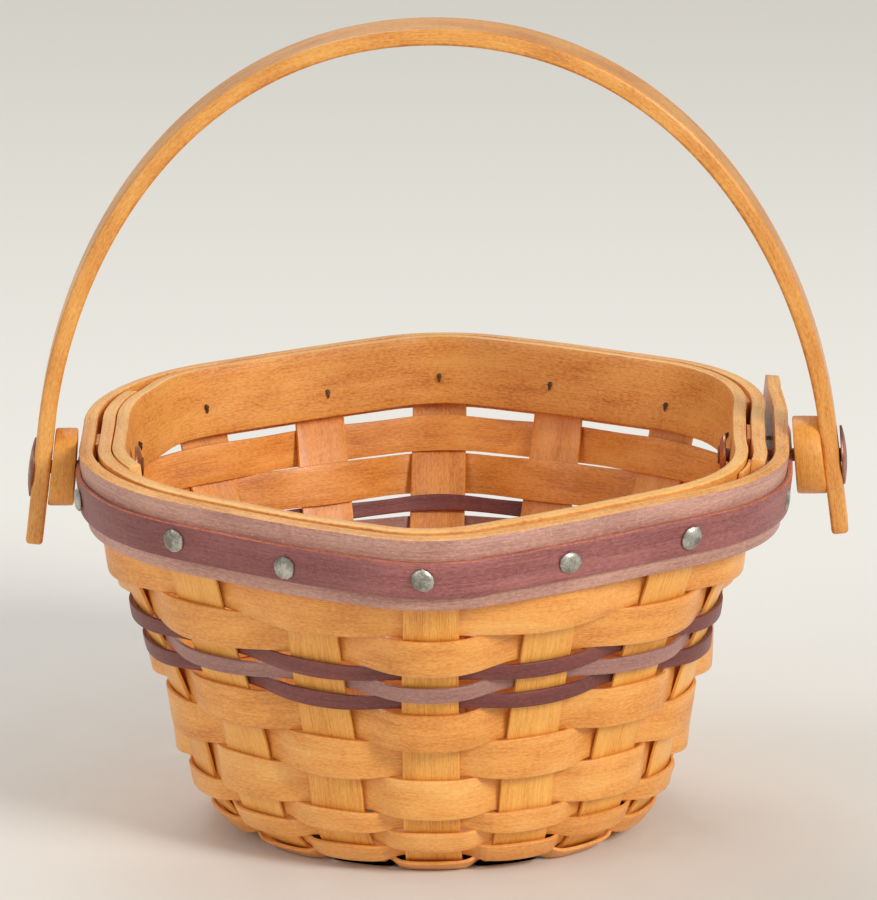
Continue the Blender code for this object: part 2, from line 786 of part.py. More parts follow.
def rivet_way(side):
    """The hole for a rivet's shank through one side of the rim."""
    outer, inner = rim_faces_at_pivot(side)
    radius = RIVET_SHANK_RADIUS + NAIL_GAP
    made = axis_bar(radius, side * (inner - CUT_OVERRUN), side * (outer + CUT_OVERRUN))
    bmesh.ops.translate(made, verts=made.verts, vec=(0, 0, PIVOT_HEIGHT))
    return made


def build_weaving(root, cutters):
    """Splints and rows."""
    for order in range(HALF_STAKES):
        finish = material(f"splint_{order + 1}", MAPLE_DARK, SPLINT_ROUGHNESS)
        piece = add_object(f"splint_{order + 1}", splint(order), finish, root)
        cut_with(piece, cutters)
    upper = COLLAR_DISTANCE - BAND_TO_FIRST_ROW
    room = upper - FLOOR_DISTANCE - HEEL_ROW_RISE - sum(width for width, _ in ROWS)
    gap = room / (len(ROWS) - 1)
    for number, (width, colour) in enumerate(ROWS, 1):
        made = weaver(upper - width / 2, width, starts_inside=number % 2 == 1)
        name = f"weaver_row_{number:02d}"
        add_object(name, made, material(name, colour, SPLINT_ROUGHNESS), root)
        upper -= width + gap
    upper = FLOOR_DISTANCE
    for number in range(1, BASE_ROWS + 1):
        inside = (number + len(ROWS)) % 2 == 1
        made = weaver(upper - NARROW_WEAVER / 2, NARROW_WEAVER, starts_inside=inside)
        name = f"base_row_{number}"
        add_object(name, made, material(name, MAPLE, SPLINT_ROUGHNESS), root)
        upper -= NARROW_WEAVER + BASE_ROW_GAP


def build_rim(root, cutters):
    """Inner band, outer band and trim, each nailed through."""
    outer_at, inner_at, trim_at = rim_places()
    tail = LAP_TAIL / ring_table(round(RIM_DISTANCE, 7))[3]
    edge = flat_half(RIM_DISTANCE)
    outer = band(
        outer_lap_start(), 1 + outer_lap_end() + tail, outer_at,
        OUTER_BAND_WIDTH, OUTER_BAND_THICKNESS, lambda share: OUTER_BAND_OFFSET + over_lap(share),
    )
    inner = band(
        (LEFT_STAKE - 1) / STAKE_COUNT - edge, 1 + (LEFT_STAKE + 1) / STAKE_COUNT + edge, inner_at,
        INNER_BAND_WIDTH, INNER_BAND_THICKNESS, lambda share: -INNER_BAND_OFFSET - under_lap(share),
    )
    trim = band(
        outer_lap_end() + 2 * tail, 1 + outer_lap_end(), trim_at,
        TRIM_WIDTH, TRIM_THICKNESS, lambda share: TRIM_OFFSET + over_lap(share),
    )
    for name, made, colour in (
        ("outer_band", outer, LILAC), ("inner_band", inner, MAPLE), ("trim_strip", trim, PLUM),
    ):
        finish = material(name, colour, SPLINT_ROUGHNESS)
        cut_with(add_object(name, made, finish, root), cutters)
    for number, stake in enumerate(tacked_stakes(), 1):
        name = f"tack_{number:02d}"
        finish = material(name, STEEL, STEEL_ROUGHNESS, METALLIC)
        smooth(add_object(name, tack(stake), finish, root))


def build_handle(root):
    """The bow on its axis, and what carries it."""
    axis = bpy.data.objects.new("handle_axis", None)
    axis.location = (0, 0, PIVOT_HEIGHT)
    axis.parent = root
    bpy.context.collection.objects.link(axis)
    bow = add_object("handle", handle(), material("handle", MAPLE, BENT_WOOD_ROUGHNESS), axis)
    reach = HANDLE_SPAN / 2
    holes = [
        axis_bar(
            RIVET_SHANK_RADIUS + RUNNING_GAP,
            side * (reach - HANDLE_THICKNESS - CUT_OVERRUN), side * (reach + CUT_OVERRUN),
        )
        for side in (-1, 1)
    ]
    cut_with(bow, make_cutters("handle_hole", holes, (0, 0, PIVOT_HEIGHT)))
    smooth(bow)
    for side, word in ((-1, "left"), (1, "right")):
        for kind, shape, colour, roughness, metallic in (
            ("rivet", rivet, COPPER, COPPER_ROUGHNESS, METALLIC),
            ("spacer", spacer, MAPLE, BENT_WOOD_ROUGHNESS, 0),
            ("burr", burr, COPPER, COPPER_ROUGHNESS, METALLIC),
        ):
            name = f"{kind}_{word}"
            finish = material(name, colour, roughness, metallic)
            smooth(add_object(name, shape(side), finish, root, (0, 0, PIVOT_HEIGHT)))


def main():
    """Clears the scene and builds the basket."""
    for old in list(bpy.data.objects):
        bpy.data.objects.remove(old, do_unlink=True)
    root = bpy.data.objects.new("basket", None)
    bpy.context.collection.objects.link(root)
    rim_cuts = [tack_cutter(stake) for stake in tacked_stakes()]
    rim_cuts += [rivet_way(side) for side in (-1, 1)]
    cutters = make_cutters("rim_hole", rim_cuts)
    build_weaving(root, cutters)
    build_rim(root, cutters)
    build_handle(root)


main()
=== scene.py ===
"""Dresses the woven basket: splints, rows, banded rim, tacks, bentwood handle and its rivets."""

import logging
import math
from collections.abc import Callable, Sequence
from dataclasses import dataclass, field
from enum import Enum
from functools import lru_cache

import bpy
import numpy as np
from mathutils import Matrix, Vector
from mathutils.kdtree import KDTree


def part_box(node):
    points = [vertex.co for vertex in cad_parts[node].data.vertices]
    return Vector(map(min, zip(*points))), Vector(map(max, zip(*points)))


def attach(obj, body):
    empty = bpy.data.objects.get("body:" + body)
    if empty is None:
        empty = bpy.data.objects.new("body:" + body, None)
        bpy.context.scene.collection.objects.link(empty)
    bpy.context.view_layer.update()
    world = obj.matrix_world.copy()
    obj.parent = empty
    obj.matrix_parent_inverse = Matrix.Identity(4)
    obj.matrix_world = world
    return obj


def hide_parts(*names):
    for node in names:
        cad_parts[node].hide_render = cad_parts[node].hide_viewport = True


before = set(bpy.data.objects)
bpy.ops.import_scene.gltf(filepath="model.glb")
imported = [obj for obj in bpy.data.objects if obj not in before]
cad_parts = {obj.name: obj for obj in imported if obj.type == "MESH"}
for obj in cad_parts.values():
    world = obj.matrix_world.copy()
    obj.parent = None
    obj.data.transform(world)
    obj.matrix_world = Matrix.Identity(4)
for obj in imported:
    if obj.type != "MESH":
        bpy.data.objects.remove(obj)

LOG = logging.getLogger("basket")
RIGHT_STAKE, LEFT_STAKE = 4, 12
Colour = tuple[float, float, float]


class Body(Enum):
    """The two parts that move against each other."""

    BASKET = "basket"
    HANDLE = "handle"


class Side(Enum):
    """The two sides that carry the handle."""

    LEFT = -1
    RIGHT = 1

    def of(self, pair: tuple[float, float]) -> float:
        """This side's value of a pair whose left value comes first."""
        return pair[(self.value + 1) // 2]


# Materials


@dataclass(frozen=True)
class Flow:
    """A value inside a material. Arithmetic on it adds Math nodes."""

    recipe: "Recipe"
    socket: bpy.types.NodeSocket

    def __add__(self, other: "Flow | float") -> "Flow":
        """Sum."""
        return self.recipe.math("ADD", self, other)

    __radd__ = __add__

    def __mul__(self, other: "Flow | float") -> "Flow":
        """Product."""
        return self.recipe.math("MULTIPLY", self, other)

    __rmul__ = __mul__

    def __sub__(self, other: "Flow | float") -> "Flow":
        """Difference."""
        return self.recipe.math("SUBTRACT", self, other)

    def __rsub__(self, other: float) -> "Flow":
        """Difference from a number."""
        return self.recipe.math("SUBTRACT", other, self)


@dataclass(frozen=True)
class Pattern:
    """Noise along a strip: its scales, a shift that sets it apart, and how fine it is."""

    along: float
    across: float
    shift: float = 0.0
    detail: float = 3.0
    rough: float = 0.55


class Recipe:
    """A material while its nodes are being put together."""

    def __init__(self, name: str) -> None:
        """Starts a material with one Principled shader.

        Args:
            name: The material's name.
        """
        self.material = bpy.data.materials.new(name)
        self.material.use_nodes = True
        self.tree = self.material.node_tree
        self.shader = self.tree.nodes["Principled BSDF"]

    def node(
        self, kind: str, settings: dict | None = None, sockets: dict | None = None, output: int | str = 0
    ) -> Flow:
        """Adds a node of any kind.

        Args:
            kind: The node's type.
            settings: Properties set before the sockets; "stops" are a ramp's places and colours.
            sockets: Values or flows by socket name or number.
            output: Which output is wanted.

        Returns:
            The flow out of the node.
        """
        made = self.tree.nodes.new(kind)
        for key, value in (settings or {}).items():
            if key == "stops":
                self.set_stops(made.color_ramp, value)
            else:
                setattr(made, key, value)
        for key, value in (sockets or {}).items():
            if isinstance(value, Flow):
                self.tree.links.new(value.socket, made.inputs[key])
            else:
                made.inputs[key].default_value = value
        return Flow(self, made.outputs[output])

    @staticmethod
    def set_stops(ramp: bpy.types.ColorRamp, stops: Sequence[tuple[float, Colour]]) -> None:
        """Gives a ramp its stops.

        Args:
            ramp: The ramp.
            stops: Places and colours, in order.
        """
        while len(ramp.elements) < len(stops):
            ramp.elements.new(1.0)
        for element, (place, colour) in zip(ramp.elements, stops):
            element.position = place
            element.color = (*colour, 1.0)

    def math(self, operation: str, first: "Flow | float", second: "Flow | float") -> Flow:
        """A Math node on two values."""
        return self.node("ShaderNodeMath", {"operation": operation}, {0: first, 1: second})

    def clamp(self, value: Flow) -> Flow:
        """The value kept between 0 and 1."""
        return self.node("ShaderNodeClamp", sockets={0: value})

    def span(self, value: Flow, low: float, high: float) -> Flow:
        """0 at low, 1 at high, with a smooth rise between."""
        sockets = {"Value": value, "From Min": low, "From Max": high}
        return self.node("ShaderNodeMapRange", {"interpolation_type": "SMOOTHSTEP"}, sockets)

    def mix(self, share: "Flow | float", first: "Flow | Colour", second: "Flow | Colour") -> Flow:
        """A mix of two colours.

        Args:
            share: How much of the second colour.
            first: The colour at 0.
            second: The colour at 1.

        Returns:
            The mixed colour.
        """
        ends = [end if isinstance(end, Flow) else (*end, 1.0) for end in (first, second)]
        return self.node(
            "ShaderNodeMix", {"data_type": "RGBA"}, {0: share, 6: ends[0], 7: ends[1]}, output=2
        )

    def ramp(self, value: Flow, stops: Sequence[tuple[float, Colour]]) -> Flow:
        """A colour ramp over a value."""
        return self.node("ShaderNodeValToRGB", {"stops": stops}, {0: value})

    def strip_noise(self, pattern: Pattern) -> Flow:
        """Noise laid along a strip by its UV map, which is in metres.

        Args:
            pattern: The noise's scales and detail.

        Returns:
            Noise between 0 and 1.
        """
        sockets = {
            "Vector": self.node("ShaderNodeTexCoord", output="UV"),
            "Location": (pattern.shift,) * 3,
            "Scale": (pattern.along, pattern.across, 1.0),
        }
        place = self.node("ShaderNodeMapping", {"vector_type": "POINT"}, sockets)
        return self.noise(place, 1.0, pattern.detail, pattern.rough)

    def tone(self, layers: Sequence[tuple[Flow, float]]) -> Flow:
        """Adds layers of noise to a middle tone.

        Args:
            layers: Each noise and its weight.

        Returns:
            The tone, between 0 and 1.
        """
        total: Flow | float = 0.5
        for noise, weight in layers:
            total = total + (noise - 0.5) * weight
        return self.clamp(total)

    def object_place(self) -> Flow:
        """Place in the object's frame."""
        return self.node("ShaderNodeTexCoord", output="Object")

    def axes(self, place: Flow) -> tuple[Flow, Flow, Flow]:
        """X, Y and Z of a place."""
        split = self.node("ShaderNodeSeparateXYZ", sockets={0: place})
        return tuple(Flow(self, split.socket.node.outputs[axis]) for axis in range(3))

    def noise(self, place: Flow, scale: float, detail: float, rough: float = 0.55) -> Flow:
        """Noise between 0 and 1."""
        sockets = {"Vector": place, "Scale": scale, "Detail": detail, "Roughness": rough}
        return self.node("ShaderNodeTexNoise", sockets=sockets)

    def bump(self, height: Flow, strength: float, distance: float) -> Flow:
        """A normal from a height."""
        sockets = {"Height": height, "Strength": strength, "Distance": distance}
        return self.node("ShaderNodeBump", sockets=sockets)

    def finish(self, **sockets: "Flow | float | Colour") -> bpy.types.Material:
        """Sets the shader's sockets; underscores in the names stand for spaces.

        Args:
            sockets: Values or flows by socket name.

        Returns:
            The finished material.
        """
        for key, value in sockets.items():
            socket = self.shader.inputs[key.replace("_", " ")]
            if isinstance(value, Flow):
                self.tree.links.new(value.socket, socket)
            elif isinstance(value, tuple):
                socket.default_value = (*value, 1.0)
            else:
                socket.default_value = value
        return self.material


@dataclass(frozen=True)
class SplintFinish:
    """Thin oiled wood with its grain along the strip."""

    name: str
    light: Colour
    middle: Colour
    dark: Colour
    roughness: float = 0.42
    coat: float = 0.16
    coat_roughness: float = 0.2
    streak: float = 0.75
    fibre: float = 1.1
    cloud: float = 0.95
    mottle: float = 0.8
    drift: float = 0.5
    fleck: float = 0.28
    fleck_span: tuple[float, float] = (0.58, 0.72)
    fleck_shade: float = 0.6
    tone_stops: tuple[float, float, float] = (0.12, 0.5, 0.88)
    relief: float = 0.45
    relief_depth: float = 0.00028
    streaks: Pattern = Pattern(16.0, 760.0, detail=5.0)
    fibres: Pattern = Pattern(120.0, 4300.0, 7.0, detail=4.0, rough=0.65)
    clouds: Pattern = Pattern(60.0, 150.0, 3.0)
    mottling: Pattern = Pattern(900.0, 2100.0, 5.0, rough=0.6)
    drifting: Pattern = Pattern(1.3, 1.3, 17.0, detail=0.0)
    flecks: Pattern = Pattern(330.0, 2600.0, 11.0, detail=2.0)

    def make(self) -> bpy.types.Material:
        """Builds the material.

        Returns:
            Wood whose broad streaks, fibres and short ray flecks run along the strip.
        """
        recipe = Recipe(self.name)
        streak = recipe.strip_noise(self.streaks)
        fibre = recipe.strip_noise(self.fibres)
        mottle = recipe.strip_noise(self.mottling)
        layers = [
            (streak, self.streak), (fibre, self.fibre), (recipe.strip_noise(self.clouds), self.cloud),
            (mottle, self.mottle), (recipe.strip_noise(self.drifting), self.drift),
        ]
        colours = (self.dark, self.middle, self.light)
        colour = recipe.ramp(recipe.tone(layers), list(zip(self.tone_stops, colours)))
        fleck = recipe.span(recipe.strip_noise(self.flecks), *self.fleck_span)
        deep = tuple(channel * self.fleck_shade for channel in self.dark)
        colour = recipe.mix(fleck * self.fleck, colour, deep)
        height = fibre * 0.7 + streak * 0.25 + mottle * 0.35 - fleck * 0.3
        return recipe.finish(
            Base_Color=colour,
            Roughness=recipe.clamp(fibre * 0.3 + (self.roughness - 0.15) + fleck * 0.1),
            Normal=recipe.bump(height, self.relief, self.relief_depth),
            Coat_Weight=self.coat,
            Coat_Roughness=self.coat_roughness,
        )


@dataclass(frozen=True)
class StainedFinish:
    """Stain over splint wood: the wood shows through along its fibres and where it is rubbed."""

    name: str
    stain: Colour
    pale: Colour
    wood: Colour
    roughness: float = 0.46
    coat: float = 0.12
    coat_roughness: float = 0.25
    fibre: float = 1.3
    streak: float = 1.0
    cloud: float = 1.2
    mottle: float = 1.5
    show_through: float = 0.35
    rubbed_span: tuple[float, float] = (0.57, 0.72)
    speckle: float = 0.4
    speck_span: tuple[float, float] = (0.63, 0.74)
    speck_gain: float = 1.7
    # Painted shade towards the left: its strength, its reach and how dark it gets.
    painted_shade_left: float = 0.0
    painted_shade_reach: float = 0.035
    painted_shade_depth: float = 0.8
    relief: float = 0.5
    relief_depth: float = 0.00028
    fibres: Pattern = Pattern(70.0, 3100.0, detail=5.0, rough=0.68)
    streaks: Pattern = Pattern(14.0, 420.0, 5.0, detail=4.0)
    clouds: Pattern = Pattern(45.0, 110.0, 9.0)
    specks: Pattern = Pattern(1500.0, 2300.0, 13.0, detail=1.0)
    mottling: Pattern = Pattern(700.0, 1700.0, 15.0, rough=0.65)

    def make(self) -> bpy.types.Material:
        """Builds the material.

        Returns:
            Stained wood with fibres, rubbed places, pale specks and, where asked, painted shade towards
            the left.
        """
        recipe = Recipe(self.name)
        fibre = recipe.strip_noise(self.fibres)
        streak = recipe.strip_noise(self.streaks)
        mottle = recipe.strip_noise(self.mottling)
        layers = [
            (fibre, self.fibre), (streak, self.streak), (recipe.strip_noise(self.clouds), self.cloud),
            (mottle, self.mottle),
        ]
        colour = recipe.mix(recipe.tone(layers), self.stain, self.pale)
        rubbed = recipe.span(fibre * 0.55 + streak * 0.45, *self.rubbed_span)
        colour = recipe.mix(rubbed * self.show_through, colour, self.wood)
        speck = recipe.span(recipe.strip_noise(self.specks), *self.speck_span)
        bright = tuple(min(channel * self.speck_gain, 1.0) for channel in self.pale)
        colour = recipe.mix(speck * self.speckle, colour, bright)
        # Painted shade: the stain grows darker towards the left side, away from the key lamp.
        if self.painted_shade_left:
            x, _, _ = recipe.axes(recipe.object_place())
            dim = recipe.span(x * -1.0, 0.0, self.painted_shade_reach) * self.painted_shade_left
            colour = recipe.mix(dim, colour, tuple(channel * self.painted_shade_depth for channel in self.stain))
        return recipe.finish(
            Base_Color=colour,
            Roughness=recipe.clamp(fibre * 0.3 + (self.roughness - 0.15)),
            Normal=recipe.bump(fibre * 0.6 + mottle * 0.6 + speck * 0.2, self.relief, self.relief_depth),
            Coat_Weight=self.coat,
            Coat_Roughness=self.coat_roughness,
        )


@dataclass(frozen=True)
class MetalFinish:
    """Worn metal: a base tone, a darker tarnish, and dents from the hammer."""

    name: str
    bright: Colour
    tarnish: Colour
    roughness: float
    metallic: float
    tarnish_share: float
    tarnish_span: tuple[float, float] = (0.38, 0.62)
    cloud_scale: float = 260.0
    pit_scale: float = 2400.0
    dent_scale: float = 420.0
    dent_strength: float = 0.25
    dent_depth: float = 0.0004

    def make(self) -> bpy.types.Material:
        """Builds the material.

        Returns:
            The worn metal.
        """
        recipe = Recipe(self.name)
        place = recipe.object_place()
        cloud = recipe.noise(place, self.cloud_scale, 4.0)
        pits = recipe.noise(place, self.pit_scale, 3.0)
        dents = recipe.noise(place, self.dent_scale, 1.5)
        worn = recipe.span(cloud * 0.7 + pits * 0.3, *self.tarnish_span)
        colour = recipe.mix((1.0 - worn) * self.tarnish_share, self.bright, self.tarnish)
        return recipe.finish(
            Base_Color=colour,
            Metallic=self.metallic,
            Roughness=recipe.clamp((1.0 - worn) * 0.2 + pits * 0.12 + (self.roughness - 0.06)),
            Normal=recipe.bump(dents + pits * 0.15, self.dent_strength, self.dent_depth),
        )


@dataclass(frozen=True)
class Palette:
    """Every finish of the basket, made once."""

    stake: bpy.types.Material
    weaver: bpy.types.Material
    narrow: bpy.types.Material
    inside: bpy.types.Material
    plum: bpy.types.Material
    lilac: bpy.types.Material
    band: bpy.types.Material
    band_lilac: bpy.types.Material
    band_edge: bpy.types.Material
    trim: bpy.types.Material
    trim_edge: bpy.types.Material
    handle: bpy.types.Material
    block: bpy.types.Material
    steel: bpy.types.Material
    copper: bpy.types.Material
    bright_copper: bpy.types.Material
    rust: bpy.types.Material

    @classmethod
    def mix(cls) -> "Palette":
        """Makes the finishes.

        Returns:
            The palette.
        """
        wood = (0.66, 0.27, 0.065)
        return cls(
            stake=SplintFinish(
                "stake_maple", (0.98, 0.56, 0.150), (0.91, 0.42, 0.079), (0.64, 0.225, 0.030),
                streak=0.55, fibre=1.15, cloud=0.6, mottle=0.5, fleck=0.15,
                streaks=Pattern(16.0, 1500.0, detail=5.0),
            ).make(),
            weaver=SplintFinish(
                "weaver_maple", (0.96, 0.51, 0.150), (0.87, 0.37, 0.078), (0.64, 0.215, 0.033),
                streak=0.36, fibre=0.7, cloud=0.95, mottle=0.95, fleck=0.14,
            ).make(),
            narrow=SplintFinish(
                "narrow_maple", (0.95, 0.49, 0.150), (0.84, 0.355, 0.077), (0.61, 0.20, 0.031),
                streak=0.36, fibre=0.75, cloud=0.95, mottle=0.95, fleck=0.14,
            ).make(),
            # Painted shade: the inside faces take a darker, deeper orange copy of the maple, for the
            # shade inside the basket.
            inside=SplintFinish(
                "inside_maple", (0.95, 0.49, 0.132), (0.87, 0.345, 0.062), (0.60, 0.20, 0.027),
                streak=0.4, fibre=0.8, cloud=1.1, mottle=1.0, fleck=0.15,
            ).make(),
            plum=StainedFinish(
                "plum_splint", (0.115, 0.023, 0.022), (0.25, 0.066, 0.052), wood, show_through=0.24
            ).make(),
            lilac=StainedFinish(
                "lilac_splint", (0.26, 0.115, 0.100), (0.46, 0.24, 0.195), wood, show_through=0.28
            ).make(),
            band=SplintFinish(
                "band_maple", (0.93, 0.455, 0.110), (0.80, 0.32, 0.060), (0.53, 0.16, 0.021),
                streak=0.4, fibre=0.8, cloud=1.15, mottle=1.4, fleck=0.3,
                streaks=Pattern(10.0, 760.0, detail=5.0),
            ).make(),
            band_lilac=StainedFinish(
                "band_lilac", (0.34, 0.148, 0.118), (0.67, 0.37, 0.28), wood, show_through=0.28
            ).make(),
            # Bare wood of the bands' cut edges, made brighter than the band wood as painted light
            # falling from above.
            band_edge=SplintFinish(
                "band_edge", (1.0, 0.60, 0.19), (0.95, 0.455, 0.112), (0.66, 0.25, 0.042),
                streak=1.0, mottle=1.2, relief=0.6,
            ).make(),
            # The trim carries painted shade towards its left side.
            trim=StainedFinish(
                "trim_plum", (0.175, 0.040, 0.039), (0.45, 0.155, 0.140), wood, show_through=0.18,
                painted_shade_left=0.38,
            ).make(),
            trim_edge=SplintFinish(
                "trim_edge", (0.80, 0.30, 0.16), (0.55, 0.16, 0.09), (0.25, 0.05, 0.04), mottle=1.3
            ).make(),
            handle=SplintFinish(
                "handle_maple", (0.89, 0.475, 0.122), (0.78, 0.335, 0.064), (0.55, 0.185, 0.028),
                roughness=0.38, coat=0.25, streak=0.55, fibre=0.8, mottle=1.0,
                streaks=Pattern(9.0, 760.0, detail=5.0),
            ).make(),
            block=SplintFinish(
                "block_maple", (0.90, 0.43, 0.082), (0.77, 0.315, 0.045), (0.52, 0.165, 0.018),
                roughness=0.5, streak=0.35, fibre=0.6, mottle=1.0, fleck=0.1,
            ).make(),
            steel=MetalFinish(
                "tack_steel", (0.60, 0.58, 0.52), (0.16, 0.145, 0.115), 0.40, 0.9, 0.8
            ).make(),
            copper=MetalFinish(
                "rivet_copper", (0.46, 0.19, 0.115), (0.13, 0.055, 0.04), 0.40, 0.9, 0.7
            ).make(),
            bright_copper=MetalFinish(
                "burr_copper", (0.62, 0.27, 0.16), (0.20, 0.07, 0.04), 0.26, 1.0, 0.45
            ).make(),
            rust=MetalFinish(
                "point_rust", (0.16, 0.09, 0.045), (0.05, 0.025, 0.012), 0.6, 0.4, 0.9
            ).make(),
        )


# Workbench


def kept(value: float) -> float:
    """A value kept between 0 and 1."""
    return min(max(value, 0.0), 1.0)


class Bench:
    """The modelling steps that every piece goes through."""

    MERGE_DISTANCE = 1e-6
    EASED_ANGLE = math.radians(50)
    SMOOTH_ANGLE = math.radians(48)
    GRAIN_STEP = 0.6180339
    GRAIN_SPREAD = 9.0

    @staticmethod
    def clear() -> None:
        """Deselects everything."""
        bpy.ops.object.select_all(action="DESELECT")

    @staticmethod
    def pick(piece: bpy.types.Object) -> None:
        """Selects one piece alone and makes it active.

        Args:
            piece: The piece.
        """
        Bench.clear()
        piece.select_set(True)
        bpy.context.view_layer.objects.active = piece

    @staticmethod
    def sheet(name: str, grid: np.ndarray, closed: bool) -> bpy.types.Object:
        """A grid bent to a set of places.

        Args:
            name: The piece's name.
            grid: Places, as (steps along, steps across, 3).
            closed: Whether the sheet's two ends meet.

        Returns:
            The bent sheet, without thickness.
        """
        along, across = grid.shape[0] - 1, grid.shape[1] - 1
        Bench.clear()
        bpy.ops.mesh.primitive_grid_add(x_subdivisions=along, y_subdivisions=across, size=2.0)
        piece = bpy.context.object
        piece.name = piece.data.name = name
        mesh = piece.data
        flat = np.empty(len(mesh.vertices) * 3)
        mesh.vertices.foreach_get("co", flat)
        flat = flat.reshape(-1, 3)
        column = np.rint((flat[:, 0] + 1) / 2 * along).astype(int)
        row = np.rint((flat[:, 1] + 1) / 2 * across).astype(int)
        mesh.vertices.foreach_set("co", grid[column, row].ravel())
        mesh.update()
        if closed:
            bpy.ops.object.mode_set(mode="EDIT")
            bpy.ops.mesh.select_all(action="SELECT")
            bpy.ops.mesh.remove_doubles(threshold=Bench.MERGE_DISTANCE)
            bpy.ops.object.mode_set(mode="OBJECT")
        return piece

    @staticmethod
    def thicken(
        piece: bpy.types.Object, thickness: float, ease: float, materials: Sequence[bpy.types.Material],
        segments: int = 2,
    ) -> bpy.types.Object:
        """Gives a sheet its thickness, eased edges and finishes.

        Args:
            piece: The sheet.
            thickness: Its thickness, half to each side.
            ease: How far the edges are rounded.
            materials: Outer face, inner face and edges; one alone serves for all.
            segments: Steps round each edge.

        Returns:
            The same piece.
        """
        Bench.pick(piece)
        piece.data.materials.clear()
        for material in materials:
            piece.data.materials.append(material)
        solid = piece.modifiers.new("Thickness", "SOLIDIFY")
        solid.thickness = thickness
        solid.offset = 0.0
        solid.use_even_offset = False
        solid.use_quality_normals = True
        solid.material_offset = min(1, len(materials) - 1)
        solid.material_offset_rim = min(2, len(materials) - 1)
        bpy.ops.object.modifier_apply(modifier=solid.name)
        bevel = piece.modifiers.new("Eased edges", "BEVEL")
        bevel.width = ease
        bevel.segments = segments
        bevel.limit_method = "ANGLE"
        bevel.angle_limit = Bench.EASED_ANGLE
        bevel.use_clamp_overlap = True
        bpy.ops.object.modifier_apply(modifier=bevel.name)
        bpy.ops.object.shade_smooth_by_angle(angle=Bench.SMOOTH_ANGLE)
        return piece

    @staticmethod
    def lay_grain(piece: bpy.types.Object, grid: np.ndarray) -> None:
        """Lays a UV map in metres whose grain runs along the strip, on faces and edges alike.

        Args:
            piece: The thickened strip.
            grid: The places of its middle sheet.
        """
        along, across = np.gradient(grid, axis=0), np.gradient(grid, axis=1)
        along /= np.linalg.norm(along, axis=2, keepdims=True)
        across /= np.linalg.norm(across, axis=2, keepdims=True)
        out = np.cross(along, across)
        middle = grid.shape[1] // 2
        strides = np.linalg.norm(np.diff(grid[:, middle], axis=0), axis=1)
        run = np.concatenate([[0.0], np.cumsum(strides)])
        rise = np.einsum("ijk,ijk->ij", grid - grid[:, middle:middle + 1], across)
        tree = KDTree(grid.shape[0] * grid.shape[1])
        for number, place in enumerate(grid.reshape(-1, 3)):
            tree.insert(place, number)
        tree.balance()
        mesh = piece.data
        places = np.empty(len(mesh.vertices) * 3)
        mesh.vertices.foreach_get("co", places)
        places = places.reshape(-1, 3)
        nearest = np.array([tree.find(place)[1] for place in places])
        column, row = np.divmod(nearest, grid.shape[1])
        away = places - grid[column, row]
        sideways = across[column, row] + out[column, row]
        lengthwise = run[column] + np.einsum("ij,ij->i", away, along[column, row])
        crosswise = rise[column, row] + np.einsum("ij,ij->i", away, sideways)
        vertex = np.empty(len(mesh.loops), np.int32)
        mesh.loops.foreach_get("vertex_index", vertex)
        start = np.empty(len(mesh.polygons), np.int32)
        mesh.polygons.foreach_get("loop_start", start)
        lengths = lengthwise[vertex]
        face = np.repeat(np.arange(len(start)), np.diff(np.append(start, len(vertex))))
        highest = np.maximum.reduceat(lengths, start)[face]
        lengths = np.where(highest - lengths > run[-1] / 2, lengths + run[-1], lengths)
        letters = sum(ord(letter) * (place + 3) for place, letter in enumerate(piece.name))
        shift = (letters * Bench.GRAIN_STEP) % Bench.GRAIN_SPREAD
        if not mesh.uv_layers:
            mesh.uv_layers.new(name="grain")
        places = np.stack([lengths + shift, crosswise[vertex] + shift], 1)
        mesh.uv_layers.active.data.foreach_set("uv", places.ravel())

    @staticmethod
    def lathe(name: str, rings: Sequence[tuple[float, float]], sides: int) -> bpy.types.Object:
        """A round piece along +Z, extruded and resized ring by ring.

        Args:
            name: The piece's name.
            rings: Radius and height of each ring; the first and last are closed by a face.
            sides: Corners of each ring.

        Returns:
            The closed piece.
        """
        Bench.clear()
        radius, height = rings[0]
        bpy.ops.mesh.primitive_circle_add(
            vertices=sides, radius=radius, fill_type="NGON", location=(0, 0, height)
        )
        piece = bpy.context.object
        piece.name = piece.data.name = name
        bpy.ops.object.transform_apply(location=True, rotation=True, scale=True)
        bpy.ops.object.mode_set(mode="EDIT")
        bpy.ops.mesh.select_all(action="SELECT")
        for (before, low), (after, high) in zip(rings, rings[1:]):
            bpy.ops.mesh.extrude_region_move(TRANSFORM_OT_translate={"value": (0, 0, high - low)})
            share = after / before
            bpy.ops.transform.resize(value=(share, share, 1), center_override=(0, 0, 0))
        bpy.ops.mesh.select_all(action="SELECT")
        bpy.ops.mesh.normals_make_consistent(inside=False)
        bpy.ops.uv.cube_project(cube_size=1.0)
        bpy.ops.object.mode_set(mode="OBJECT")
        return piece

    @staticmethod
    def place(piece: bpy.types.Object, matrix: Matrix) -> None:
        """Moves a piece to its place and applies it to the mesh.

        Args:
            piece: The piece, modelled round the origin.
            matrix: Its place.
        """
        Bench.pick(piece)
        piece.matrix_world = matrix
        bpy.ops.object.transform_apply(location=True, rotation=True, scale=True)
        bpy.ops.object.mode_set(mode="EDIT")
        bpy.ops.mesh.select_all(action="SELECT")
        bpy.ops.mesh.normals_make_consistent(inside=False)
        bpy.ops.object.mode_set(mode="OBJECT")

    @staticmethod
    def hand_over(piece: bpy.types.Object, node: str, body: Body) -> None:
        """Lets a finished piece stand for its node and ride with its body.

        Args:
            piece: The finished piece.
            node: The node that it stands for.
            body: The body that it moves with.
        """
        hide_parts(node)
        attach(piece, body.value)
        LOG.info("%s: %d faces, rides on %s", piece.name, len(piece.data.polygons), body.value)


def smoothstep(value: np.ndarray) -> np.ndarray:
    """0 below 0, 1 above 1, and a smooth rise between."""
    value = np.clip(value, 0.0, 1.0)
    return value * value * (3 - 2 * value)


